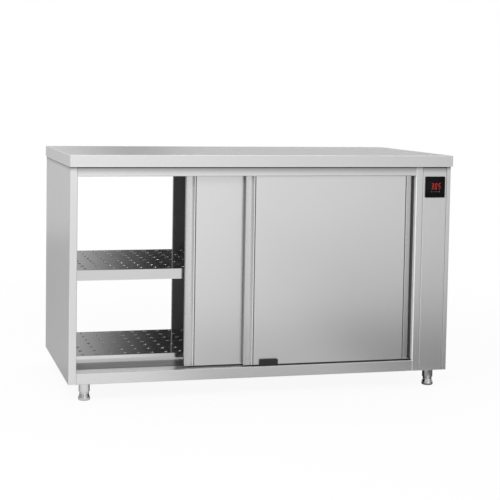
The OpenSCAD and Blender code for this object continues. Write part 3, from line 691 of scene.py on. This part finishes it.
for side in ("front", "rear"):
    post = f"{side}_inner_post"
    post_steel[post] = steel(f"{side}_post_brushed", SHEET, 0.26, ALONG_Z, edge_of=post,
                             edge_width=NARROW_EDGE,
                             highlight_below_x=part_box(f"{side}_inner_post")[0].x + POST_LIP)
print("steels", len(bpy.data.materials))

# %% [markdown]
# ## The doors' steel
# A door's side is folded twice, with a finger channel between the folds. Each painted line of shade or
# highlight is given by its inset from the side, its half width and its change of tone. The side that shuts on
# the inner post has its return turned away from the light, so two more lines of painted shade darken that
# side alone.

# %% Door steels
DOOR_PAINTED_LINES = (
    (0.0, 0.0007, -0.55),      # painted shade at the very side, from its neighbour
    (0.0019, 0.0012, 0.22),    # painted highlight on the fold at the side
    (0.0316, 0.0018, 0.30),    # painted highlight on the fold of the channel
    (0.0350, 0.0024, -0.62),   # painted shade in the groove behind it
)
SHUT_PAINTED_SHADE = (
    (0.0052, 0.0031, -0.86),   # painted shade on the return
    (0.0200, 0.0150, -0.13),   # painted shade in the channel beside it
)
SHUTS_WITHIN = 0.02
FAR_LEFT = -9.0
post_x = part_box("front_inner_post")[0].x
door_steel = {}
for door in ("front_left", "front_right", "rear_left", "rear_right"):
    left_edge, right_edge = (corner.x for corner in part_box(f"{door}_door_skin"))
    marks = [(left_edge, right_edge, *mark) for mark in DOOR_PAINTED_LINES]
    if right_edge > post_x - SHUTS_WITHIN:
        marks += [(FAR_LEFT, right_edge, *mark) for mark in SHUT_PAINTED_SHADE]
    door_steel[f"{door}_door_skin"] = steel(f"{door}_door_brushed", SHEET, 0.25, ALONG_Z, skirt_shade=0,
                                            side_marks=marks)
    print(door, "has", len(marks), "side lines")

# %% [markdown]
# ## Steels of the inside and the small parts
# The door liners keep a dark mill finish. The inner sheet has that mill finish too, painted darker still as
# the shade inside the closed cabinet. The shelves are the brightest sheet, almost a mirror, because plates
# slide on them. The feet are chromed, and the heater has turned straw and brown with its own heat.

# %% Inside steels
# The inner sheet's colour is painted darker than its mill finish, as shade inside the closed cabinet.
inner_steel = steel("inner_mill_painted_shade", (0.20, 0.20, 0.20), 0.38, ALONG_X, metal=0.9, skirt_shade=0)
liner_steel = steel("liner_mill", (0.50, 0.50, 0.50), 0.38, ALONG_Z, metal=0.9, skirt_shade=0)
shelf_steel = steel("shelf_bright", (0.66, 0.66, 0.66), 0.10, ALONG_X, tone_depth=0.06, spread=0.05,
                    metal=1.0, skirt_shade=0)
dull_steel = steel("heater_tinted", (0.26, 0.24, 0.22), 0.45, ALONG_Z, tone_depth=0.2, cloud=0.3)
chrome = steel("foot_chrome", (0.66, 0.66, 0.67), 0.10, ALONG_Z, tone_depth=0.02, cloud=0.02, spread=0.02,
               bump=0.01, metal=1.0, skirt_shade=0, tint=0.1)
EVEN = (60, 60, 60)
screw_steel = steel("screw_plated", (0.66, 0.66, 0.65), 0.24, EVEN, tone_depth=0.05)
print("steels", len(bpy.data.materials))

# %% [markdown]
# ## Plastics and paint
# The controller, guide blocks and gland are moulded: a fine even texture breaks their highlights.
# The lens is polished and black, so nearly all it shows is reflection.

# %% Moulded finishes
MOTTLE_SCALE, ROUGH_SWING, TEXTURE_DEPTH = 45.0, 0.12, 0.0002


def moulded(name, color, rough, texture=900.0, bump=0.12, mottle=0.08, gloss=0.5):
    """A plastic or paint with a fine texture, a faint mottle and a given gloss."""
    finish, tree, shader, place = start_finish(name)
    fine = noise(tree, place, texture, 2.0)
    broad = noise(tree, place, MOTTLE_SCALE, 2.0)
    factor = math_node(tree, "ADD", swing(tree, broad, mottle), 1.0)
    tree.links.new(tinted(tree, factor, color), shader.inputs["Base Color"])
    rough_out = math_node(tree, "ADD", swing(tree, fine, ROUGH_SWING), rough)
    tree.links.new(rough_out, shader.inputs["Roughness"])
    shader.inputs["Specular IOR Level"].default_value = gloss
    add_bump(tree, shader, fine, bump, TEXTURE_DEPTH)
    return finish


black_plastic = moulded("black_moulded", (0.012, 0.012, 0.013), 0.42)
grey_plastic = moulded("grey_moulded", (0.42, 0.42, 0.44), 0.5)
nylon = moulded("roller_nylon", (0.78, 0.76, 0.70), 0.42, texture=500.0)
motor_paint = moulded("motor_satin_paint", (0.06, 0.06, 0.065), 0.38, texture=350.0)
lens_black = moulded("lens_black", (0.003, 0.003, 0.004), 0.09, texture=200.0, bump=0.005, mottle=0.02,
                     gloss=0.1)
window_black = moulded("window_smoke", (0.004, 0.003, 0.003), 0.12, texture=300.0, bump=0.01, gloss=0.14)
mark_grey = moulded("mark_print", (0.30, 0.30, 0.31), 0.5)
print("finishes", len(bpy.data.materials))

# %% [markdown]
# ## Light from a display
# A segment of a display is lit by diodes behind it, so it glows a little unevenly. Its colour goes to
# the shader's emission, and a strength somewhat over 1 makes it bright without washing it out.

# %% Glowing finish
def glowing(name, color, strength):
    """A lit display segment with a faint unevenness."""
    finish, tree, shader, place = start_finish(name)
    patch = noise(tree, place, 260.0, 1.0)
    factor = math_node(tree, "ADD", math_node(tree, "MULTIPLY", patch, 0.5), 0.75)
    tree.links.new(tinted(tree, factor, color), shader.inputs["Emission Color"])
    shader.inputs["Base Color"].default_value = (0.1, 0.01, 0.01, 1)
    shader.inputs["Roughness"].default_value = 0.4
    shader.inputs["Emission Strength"].default_value = strength
    return finish


segment_red = glowing("segment_red", (1.0, 0.05, 0.05), 1.9)
print("finishes", len(bpy.data.materials))

# %% [markdown]
# ## The CAD nodes get their finishes
# A node keeps its shape and only changes its material slots. Most follow the slot that the record
# gives them, and some have a finish that was made for them alone.

# %% Dress the nodes
finish_of_slot = {
    "worktop_steel": worktop_steel, "body_steel": panel_steel, "door_steel": panel_steel,
    "inner_steel": inner_steel, "shelf_steel": shelf_steel, "foot_chrome": chrome,
    "screw_steel": screw_steel, "heater_steel": dull_steel, "black_plastic": black_plastic,
    "grey_plastic": grey_plastic, "controller_glass": lens_black, "roller_nylon": nylon,
    "motor_paint": motor_paint,
}
own_finish = {"control_panel": control_steel, "left_side_panel": left_steel, "foot_sleeves": chrome,
              **post_steel, **door_steel}
slot_of = {row["node"]: row["material_slot"] for row in frame["record"]["subparts"]}
for name, node in nodes.items():
    finish = own_finish.get(name, finish_of_slot[slot_of[name]])
    if name.endswith(("top_rail", "bottom_rail")):
        finish = rail_steel
    elif name.endswith("_door_liner"):
        finish = liner_steel
    node.data.materials.clear()
    node.data.materials.append(finish)
print("dressed", len(nodes), "nodes,", len(own_finish), "with a finish of their own")

# %% [markdown]
# ## Turned feet
# Each foot is a chromed adjuster that was turned on a lathe: a flared base, a waist that narrows in
# one curve, a groove, and a threaded stem that goes up into the fixed sleeve. It is turned here the
# same way. The thread is drawn as rings, since a real helix wouldn't show inside the sleeve.

# %% Foot profile
FOOT_EDGE = [(0.0150, 0.0), (0.0172, 0.0004), (0.0190, 0.0014), (0.0202, 0.0030), (0.0205, 0.0046)]
WAIST_R, BASE_FLARE, WAIST_Z, WAIST_RISE, WAIST_STEPS = 0.0160, 0.0045, 0.0068, 0.0192, 12
FOOT_GROOVE = [(0.0160, 0.0272), (0.0156, 0.0275), (0.0156, 0.0281), (0.0160, 0.0284)]
THREAD_R, ROOT_R, THREAD_Z, THREAD_PITCH, THREAD_TURNS = 0.0062, 0.0056, 0.0312, 0.0015, 37
FOOT_SHOULDER = [(0.0160, 0.0303), (0.0155, 0.0307), (THREAD_R, 0.0308)]


def foot_profile():
    """The (radius, height) pairs of an adjuster, from the floor upwards."""
    points = list(FOOT_EDGE)
    for k in range(1, WAIST_STEPS + 1):
        share = k / WAIST_STEPS
        flare = BASE_FLARE * (1 + math.cos(math.pi * share)) / 2
        points.append((WAIST_R + flare, WAIST_Z + WAIST_RISE * share))
    points += FOOT_GROOVE + FOOT_SHOULDER
    for k in range(THREAD_TURNS):
        crest = THREAD_Z + THREAD_PITCH * k
        points += [(THREAD_R, crest), (ROOT_R, crest + THREAD_PITCH / 2)]
    points.append((THREAD_R, THREAD_Z + THREAD_PITCH * THREAD_TURNS))
    return points


print("foot profile points", len(foot_profile()))

# %% Feet
FOOT_X, FOOT_Y = 0.639, 0.305
first_foot = None
for x, y, name in ((-FOOT_X, -FOOT_Y, "front_left"), (FOOT_X, -FOOT_Y, "front_right"),
                   (-FOOT_X, FOOT_Y, "rear_left"), (FOOT_X, FOOT_Y, "rear_right")):
    title, leveller = f"{name}_adjuster", f"{name}_leveller"
    if first_foot is None:
        turned = lathe(foot_profile(), (x, y, 0))
        adjuster = first_foot = settle(turned, title, chrome, leveller)
    else:
        adjuster = copy_of(first_foot, title, (x + FOOT_X, y + FOOT_Y, 0), leveller)
    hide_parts(f"{name}_foot")
print("feet", [round(v, 4) for v in first_foot.dimensions])

# %% [markdown]
# ## The bare plate
# A thin plate is fixed to the right end of the worktop's skirt. It is a rounded block with a soft
# edge that catches light, and it is sunk in the skirt so that only a fifth of a millimetre stands
# proud. A plane with a texture would be simpler, but it would have no edge.

# %% Plate
PLATE_W, PLATE_H = 0.085, 0.024
PLATE_FROM_RIGHT, PLATE_FROM_TOP = 0.008, 0.0085
PLATE_NEAR, PLATE_FAR = 0.0003, 0.0011
skirt_low, skirt_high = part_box("worktop")
plate_right, plate_top = skirt_high.x - PLATE_FROM_RIGHT, skirt_high.z - PLATE_FROM_TOP
plate_steel = steel("plate_satin", (0.80, 0.80, 0.80), 0.34, ALONG_X, tone_depth=0.05, skirt_shade=0)
plate = rounded_block((plate_right - PLATE_W, skirt_low.y + PLATE_NEAR, plate_top - PLATE_H),
                      (plate_right, skirt_low.y + PLATE_FAR, plate_top), round_r=0.0015, soft_r=0.0003)
settle(plate, "skirt_plate", plate_steel)
print("plate", [round(v, 4) for v in plate.dimensions])

# %% [markdown]
# ## The controller's lens
# The controller is a square black unit behind a polished lens with rounded corners. The part of the
# lens over the display is a smoked window. A real one is clear enough to look through. Here both are
# black and closed, which looks the same from outside, and what glows lies on them.

# %% Lens and window
WINDOW_HALF_W, WINDOW_BELOW, WINDOW_ABOVE, WINDOW_SUNK = 0.030, 0.013, 0.021, 0.0003
PRINT_DEPTH = 0.00012
lens_low, lens_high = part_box("controller_glass")
lens = rounded_block(lens_low, lens_high, round_r=0.003, soft_r=0.0007, segments=8)
settle(lens, "controller_lens", lens_black)
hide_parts("controller_glass")
face_x, face_y, face_z = (lens_low.x + lens_high.x) / 2, lens_low.y, (lens_low.z + lens_high.z) / 2
window = rounded_block((face_x - WINDOW_HALF_W, face_y - PRINT_DEPTH, face_z - WINDOW_BELOW),
                       (face_x + WINDOW_HALF_W, face_y + WINDOW_SUNK, face_z + WINDOW_ABOVE),
                       round_r=0.002, soft_r=0.00005)
settle(window, "display_window", window_black)
print("lens", [round(v, 4) for v in lens.dimensions], "window", [round(v, 5) for v in window.dimensions])

# %% [markdown]
# ## Digits
# A digit of such a display has seven bars, and only the lit ones are made. Each bar is a hexagon
# with pointed ends. A text object would be quicker, but its strokes would join without the gaps that
# real segments have. The digits lean a little to the right.

# %% One bar
BARS = {"a": ((0.1, 1.0), (0.9, 1.0)), "b": ((1.0, 0.95), (1.0, 0.55)), "c": ((1.0, 0.45), (1.0, 0.05)),
        "d": ((0.1, 0.0), (0.9, 0.0)), "e": ((0.0, 0.45), (0.0, 0.05)), "f": ((0.0, 0.95), (0.0, 0.55)),
        "g": ((0.1, 0.5), (0.9, 0.5))}
LIT = {"3": "abcdg", "0": "abcdef", "5": "acdfg"}
BAR_THICK = 0.0006


def bar(start, end):
    """One bar with pointed ends: the six corners of a disc are moved, then it gets a little depth."""
    start, end = Vector(start), Vector(end)
    along = (end - start).normalized()
    across = Vector((-along.y, along.x)) * BAR_THICK / 2
    piece = standing_disc(6, BAR_THICK)
    tip = along * BAR_THICK / 2
    ring = [start - tip, start + across, end + across, end + tip, end - across, start - across]
    disc = piece.data.vertices
    corners = sorted(range(6), key=lambda i: math.atan2(disc[i].co.z, disc[i].co.x))
    centre = (start + end) / 2
    ring.sort(key=lambda p: math.atan2(p.y - centre.y, p.x - centre.x))
    for i, point in zip(corners, ring):
        disc[i].co = (point.x, 0, point.y)
    bpy.ops.object.mode_set(mode="EDIT")
    thicken_forward(PRINT_DEPTH)
    return piece


print("bars of a digit", len(BARS))

# %% Digits
DIGIT_W, DIGIT_H, LEAN = 0.0062, 0.021, 0.0026
FIRST_DIGIT_X, DIGIT_PITCH, DIGIT_FOOT = -0.0160, 0.0138, -0.0075


def on_display(k, x, z):
    """A point of digit k, from its own width and height shares to metres from the lens's centre."""
    return FIRST_DIGIT_X + k * DIGIT_PITCH + x * DIGIT_W + z * LEAN, DIGIT_FOOT + z * DIGIT_H


bars = []
for k, digit in enumerate("305"):
    for key in LIT[digit]:
        start, end = BARS[key]
        bars.append(bar(on_display(k, *start), on_display(k, *end)))
digits = join(bars)
digits.location = (face_x, face_y - PRINT_DEPTH, face_z)
settle(digits, "display_digits", segment_red)
print("digits", [round(v, 4) for v in digits.dimensions])

# %% [markdown]
# ## Touch marks
# Four keys are printed below the display as small outlines: a square, two triangles and a ring. They
# are touched and don't travel. Each starts as a disc with few sides, and an inset leaves its outline.

# %% Touch marks
MARK_R, MARK_LINE, MARK_DEPTH = 0.0019, 0.0007, 0.0001
FIRST_MARK_X, MARK_PITCH, MARK_Z = -0.0156, 0.0104, -0.0165
for k, (sides, turn) in enumerate(((4, 45), (3, 30), (3, 90), (24, 0))):
    mark = standing_disc(sides, MARK_R)
    bpy.ops.object.mode_set(mode="EDIT")
    bpy.ops.mesh.select_all(action="SELECT")
    bpy.ops.transform.rotate(value=math.radians(turn), orient_axis="Y", center_override=(0, 0, 0))
    bpy.ops.mesh.inset(thickness=MARK_LINE)
    bpy.ops.mesh.delete(type="FACE")
    thicken_forward(MARK_DEPTH)
    mark.location = (face_x + FIRST_MARK_X + k * MARK_PITCH, face_y, face_z + MARK_Z)
    settle(mark, f"touch_mark_{k + 1}", mark_grey)
print("marks at", round(face_z + MARK_Z, 4))

# %% [markdown]
# ## Rolled rims of the shelf holes
# Each hole of a shelf is punched and its rim is rolled up, so that plates slide over it and the edge
# isn't sharp. The rim is what catches the light: a dark shelf shows a row of bright dashes. One rim
# is a ring that is extruded and scaled four times, and two Array modifiers repeat it over a shelf.

# %% One rim
HOLE_R, RIM_R, RIM_H = 0.005, 0.0068, 0.0008
RIM_PROFILE = [(RIM_R - 0.0004, RIM_H * 0.75), (RIM_R - 0.0012, RIM_H), (HOLE_R + 0.0002, RIM_H * 0.5),
               (HOLE_R, -0.0008)]
rim_steel = steel("rim_bright", (0.60, 0.60, 0.60), 0.25, EVEN, tone_depth=0.04, metal=1.0, skirt_shade=0)


def hole_rim(place):
    """A ring whose section is a low bead, 12 sided."""
    fresh()
    bpy.ops.mesh.primitive_circle_add(vertices=12, radius=RIM_R)
    ring = bpy.context.object
    bpy.ops.object.mode_set(mode="EDIT")
    bpy.ops.mesh.select_all(action="SELECT")
    raise_rim(RIM_R, 0.0, RIM_PROFILE)
    ring.location = place
    return ring


print("rim stands", RIM_H, "proud")

# %% Rims over the shelves
PITCH_X, PITCH_Y, MARGIN = 0.050, 0.066, 0.020


def holes_along(low_edge, high_edge, pitch):
    """How many holes fit along a shelf, and where the first one's centre is."""
    count = 1 + int((high_edge - low_edge - 2 * MARGIN) / pitch + 1e-6)
    return count, (low_edge + high_edge) / 2 - (count - 1) / 2 * pitch


for shelf in ("mid_shelf", "bottom_shelf"):
    low_corner, high_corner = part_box(shelf)
    columns, first_x = holes_along(low_corner.x, high_corner.x, PITCH_X)
    rows, first_y = holes_along(low_corner.y, high_corner.y, PITCH_Y)
    rims = hole_rim((first_x, first_y, high_corner.z))
    for count, step in ((columns, (PITCH_X, 0, 0)), (rows, (0, PITCH_Y, 0))):
        row = rims.modifiers.new("row", "ARRAY")
        row.use_relative_offset, row.use_constant_offset, row.count = False, True, count
        row.constant_offset_displace = step
        bpy.ops.object.modifier_apply(modifier="row")
    settle(rims, f"{shelf}_hole_rims", rim_steel, angle=50)
    print(shelf, columns, "by", rows, "holes")

# %% [markdown]
# ## Screws
# The rear cover is held by six pan head screws and the guide blocks by two smaller ones each. A head
# is turned like a foot, from the tip of its shank upwards. Its cross recess is taken out by two
# Booleans with one bar each, because a cutter that crosses itself can empty the mesh. Each size is
# made once, upright, and its copies are laid over and moved to their places.

# %% One screw
def cross_screw(head, rise, shank, length):
    """An upright screw whose head sits on z = 0: a turned body with a cross recess."""
    profile = [(shank * 0.6, -length), (shank, -length + 0.0006), (shank, -0.0001), (head, 0.0),
               (head, rise * 0.3), (head * 0.93, rise * 0.6), (head * 0.72, rise * 0.86),
               (head * 0.42, rise * 0.98), (head * 0.12, rise)]
    screw = lathe(profile, (0, 0, 0), sides=24)
    long_side, short_side = head * 1.05, head * 0.22
    for wide, narrow in ((long_side, short_side), (short_side, long_side)):
        fresh()
        bpy.ops.mesh.primitive_cube_add(size=1, location=(0, 0, rise), scale=(wide, narrow, rise * 1.1))
        slot_cutter = bpy.context.object
        bpy.ops.object.transform_apply(location=True, rotation=True, scale=True)
        cut(screw, slot_cutter)
    return screw


def outward_y(x, y, z):
    """The place of an upright screw that is laid over to face +Y."""
    return Matrix.Translation((x, y, z)) @ Matrix.Rotation(math.radians(-90), 4, "X")


big_screw = cross_screw(head=0.004, rise=0.0022, shank=0.002, length=0.006)
small_screw = cross_screw(head=0.0035, rise=0.0015, shank=0.002, length=0.031)
print("screws", [round(v, 4) for v in big_screw.dimensions], [round(v, 4) for v in small_screw.dimensions])

# %% All screws
COVER_EDGE_X, COVER_EDGE_Z, BLOCK_EDGE_X, BLOCK_EDGE_Y = 0.008, 0.030, 0.012, 0.0035
cover_low, cover_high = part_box("service_panel")
cover_y, cover_mid = cover_high.y, (cover_low.x + cover_high.x) / 2
screws = []
for z in (cover_low.z + COVER_EDGE_Z, (cover_low.z + cover_high.z) / 2, cover_high.z - COVER_EDGE_Z):
    for x in (cover_low.x + COVER_EDGE_X, cover_high.x - COVER_EDGE_X):
        screws.append(loose_copy(big_screw, outward_y(x, cover_y, z)))
for side in (-1, 1):
    block_low, block_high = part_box("front_guide_block" if side < 0 else "rear_guide_block")
    inner_y = block_high.y if side < 0 else block_low.y
    for x in (block_low.x + BLOCK_EDGE_X, block_high.x - BLOCK_EDGE_X):
        upright = Matrix.Translation((x, inner_y + side * BLOCK_EDGE_Y, block_high.z))
        screws.append(loose_copy(small_screw, upright))
for pattern_screw in (big_screw, small_screw):
    bpy.data.objects.remove(pattern_screw)
screws = settle(join(screws), "cross_head_screws", screw_steel)
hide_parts("fasteners")
head_low, head_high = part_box("fasteners")
print("screws", [round(v, 4) for v in screws.dimensions], "node", [round(v, 4) for v in head_high - head_low])

# %% [markdown]
# ## Louvre hoods
# The controller's heat leaves through nine slots in the rear cover. Each has a pressed hood that keeps
# splashes out: a quarter of an ellipsoid, open below. It starts as a sphere, and two bisect cuts take
# away the lower half and the half behind the sheet. Solidify then gives it the sheet's thickness.

# %% One hood
SLOT_W = cover_high.x - cover_low.x - 0.034
HOOD_RISE, HOOD_REACH, HOOD_PAST_SLOT, HOOD_SHEET = 0.0105, 0.0046, 0.002, 0.0008


def hood():
    """One hood, centred on the origin, with its length along X."""
    fresh()
    bpy.ops.mesh.primitive_uv_sphere_add(segments=28, ring_count=14, radius=1, rotation=(0, math.pi / 2, 0))
    shell = bpy.context.object
    shell.scale = (HOOD_RISE, HOOD_REACH, SLOT_W / 2 + HOOD_PAST_SLOT)
    bpy.ops.object.transform_apply(rotation=False, scale=True)
    bpy.ops.object.transform_apply(rotation=True)
    bpy.ops.object.mode_set(mode="EDIT")
    for normal in ((0, 0, -1), (0, -1, 0)):
        bpy.ops.mesh.select_all(action="SELECT")
        bpy.ops.mesh.bisect(plane_co=(0, 0, 0), plane_no=normal, clear_outer=True)
    bpy.ops.object.mode_set(mode="OBJECT")
    sheet = shell.modifiers.new("sheet", "SOLIDIFY")
    sheet.thickness, sheet.offset = HOOD_SHEET, -1
    bpy.ops.object.modifier_apply(modifier="sheet")
    return shell


first_hood = hood()
print("hood", [round(v, 4) for v in first_hood.dimensions])

# %% All hoods
SLOT_Z, SLOT_PITCH, SLOTS = cover_low.z + 0.160, 0.018, 9
HOOD_DROP = 0.0005
hoods = []
for k in range(SLOTS):
    slot_z = SLOT_Z + k * SLOT_PITCH - HOOD_DROP
    hoods.append(loose_copy(first_hood, Matrix.Translation((cover_mid, cover_y, slot_z))))
bpy.data.objects.remove(first_hood)
hoods = settle(join(hoods), "louvre_hoods", panel_steel, angle=50)
print("hoods", [round(v, 4) for v in hoods.dimensions])

# %% [markdown]
# ## Cable gland
# The gland's cap is gripped by hand, so it is ribbed. Its rim starts as a circle of 24 points of which
# every other one is drawn in, and raising that star gives the ribs. The last ring goes back down
# inside, which makes the bore. The collar and the lock nut are hexagons.

# %% Gland parts
CAP_R, RIB_VALLEY, RIB_POINTS, CAP_Z = 0.0112, 0.95, 24, 0.0050
CAP_PROFILE = [(1, 0.0095), (0.96, 0.0112), (0.86, 0.0128), (0.72, 0.0134), (0.47, 0.0134), (0.45, -0.010)]
COLLAR = [(0.0142, 0.0), (0.0150, 0.0006), (0.0150, 0.0044), (0.0142, 0.005)]
THREAD = [(0.0098, -0.0140), (0.0100, -0.0135), (0.0100, -0.0002)]
LOCK_NUT = [(0.0142, -0.0062), (0.0150, -0.0056), (0.0150, -0.0018), (0.0142, -0.0012)]


def ribbed_cap():
    """A star that is raised through the cap's profile of (share of the radius, height) pairs."""
    star = lying_disc(RIB_POINTS, CAP_R, CAP_Z)
    for vertex in star.data.vertices:
        if vertex.index % 2:
            vertex.co.x, vertex.co.y = vertex.co.x * RIB_VALLEY, vertex.co.y * RIB_VALLEY
    bpy.ops.object.mode_set(mode="EDIT")
    bpy.ops.mesh.select_all(action="SELECT")
    raise_rim(1.0, CAP_Z, CAP_PROFILE)
    return star


collar = lathe(COLLAR, (0, 0, 0), sides=6)
cap = ribbed_cap()
thread = lathe(THREAD, (0, 0, 0), sides=32)
lock_nut = lathe(LOCK_NUT, (0, 0, 0), sides=6)
print("cap", [round(v, 4) for v in cap.dimensions])

# %% Gland
gland_low, gland_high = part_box("cable_gland")
gland_mid = (gland_low + gland_high) / 2
gland = join([collar, cap, thread, lock_nut])
gland.data.transform(outward_y(gland_mid.x, cover_y, gland_mid.z))
settle(gland, "cable_gland_cap", black_plastic)
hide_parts("cable_gland")
print("gland", [round(v, 4) for v in gland.dimensions], "node", [round(v, 4) for v in gland_high - gland_low])

# %% [markdown]
# ## The floor
# The floor is a pale plane. The camera sees it nearly white, with a small share of real shading left so that
# the cabinet keeps a soft shadow. What steel mirrors is painted light and shade on the floor: painted light
# near the lamp on the left and painted shade beyond it, and the lower half of each door shows it. A painted
# shadow lies under the cabinet, which gives the chromed feet their dark outlines, and a small patch of
# painted light lies by the right front foot, where the photograph's foot is bright.

# %% Floor plane
fresh()
bpy.ops.mesh.primitive_plane_add(size=9, location=(0, 0, 0))
floor = bpy.context.object
floor.name = "studio_floor"
pale = bpy.data.materials.new("floor_pale")
pale.use_nodes = True
tree = pale.node_tree
tree.nodes.clear()
spot = tree.nodes.new("ShaderNodeTexCoord").outputs["Object"]
axes = tree.nodes.new("ShaderNodeSeparateXYZ")
tree.links.new(spot, axes.inputs[0])
print("floor", [round(v, 2) for v in floor.dimensions])

# %% Floor patches
def floor_patch(name, x, half_x, rim_x, y, half_y, rim_y):
    """A soft rectangle of painted light on the floor, in metres. A level below zero paints shade."""
    across = math_node(tree, "ABSOLUTE", math_node(tree, "SUBTRACT", axes.outputs["X"], x))
    along = math_node(tree, "ABSOLUTE", math_node(tree, "SUBTRACT", axes.outputs["Y"], y))
    patch = math_node(tree, "MULTIPLY", soft_step(tree, across, half_x + rim_x, half_x - rim_x),
                      soft_step(tree, along, half_y + rim_y, half_y - rim_y))
    return math_node(tree, "MULTIPLY", patch, LEVELS[name])


# name, then the middle, half width and rim along x, and the same along y
patches = [
    floor_patch("floor_left", -1.85, 1.6, 0.2, -0.95, 0.75, 0.4),
    floor_patch("floor_mid", 0.15, 0.40, 0.2, -0.95, 0.75, 0.4),
    floor_patch("floor_far", -1.8, 2.6, 0.4, -3.3, 1.6, 0.4),
    floor_patch("floor_far_right", 3.0, 2.2, 0.4, -3.3, 1.6, 0.4),
    floor_patch("floor_back", -1.5, 2.0, 0.8, 2.2, 2.2, 0.3),
    floor_patch("floor_feet", 0.64, 0.06, 0.04, -0.42, 0.07, 0.03),
    floor_patch("floor_under", 0.0, 0.64, 0.06, 0.0, 0.29, 0.05),
]
print("floor patches", len(patches))

# %% Floor as steel mirrors it
MIRRORED_SHARE = 0.8
ground = tree.nodes.new("ShaderNodeValue")
ground.outputs[0].default_value = LEVELS["floor"]
lit = tree.nodes.new("ShaderNodeBsdfDiffuse")
lit.inputs["Color"].default_value = (0.82, 0.82, 0.82, 1)
# Glossy rays see the patches as painted light and shade on the floor.
sheen = tree.nodes.new("ShaderNodeEmission")
glow = math_node(tree, "MAXIMUM", total(tree, [ground.outputs[0], *patches]), LEAST_LIGHT)
tree.links.new(glow, sheen.inputs["Strength"])
path = tree.nodes.new("ShaderNodeLightPath")
mirrored = tree.nodes.new("ShaderNodeMixShader")
mirror_fac = math_node(tree, "MULTIPLY", path.outputs["Is Glossy Ray"], MIRRORED_SHARE)
tree.links.new(mirror_fac, mirrored.inputs["Fac"])
tree.links.new(lit.outputs["BSDF"], mirrored.inputs[1])
tree.links.new(sheen.outputs["Emission"], mirrored.inputs[2])
print("floor nodes", len(tree.nodes))

# %% Floor as the camera sees it
WHITE_NEAR, WHITE_GAIN = 0.93, 0.07
GAIN_FROM, GAIN_TO = 1.2, 3.0
white = tree.nodes.new("ShaderNodeEmission")
white.inputs["Strength"].default_value = 1.0
reach = tree.nodes.new("ShaderNodeVectorMath")
reach.operation = "LENGTH"
tree.links.new(spot, reach.inputs[0])
away = math_node(tree, "MULTIPLY", soft_step(tree, reach.outputs["Value"], GAIN_FROM, GAIN_TO), WHITE_GAIN)
white_share = math_node(tree, "ADD", away, WHITE_NEAR)
mix = tree.nodes.new("ShaderNodeMixShader")
white_fac = math_node(tree, "MULTIPLY", path.outputs["Is Camera Ray"], white_share)
tree.links.new(white_fac, mix.inputs["Fac"])
tree.links.new(mirrored.outputs["Shader"], mix.inputs[1])
tree.links.new(white.outputs["Emission"], mix.inputs[2])
surface = tree.nodes.new("ShaderNodeOutputMaterial")
tree.links.new(mix.outputs["Shader"], surface.inputs["Surface"])
floor.data.materials.append(pale)
print("floor nodes", len(tree.nodes))
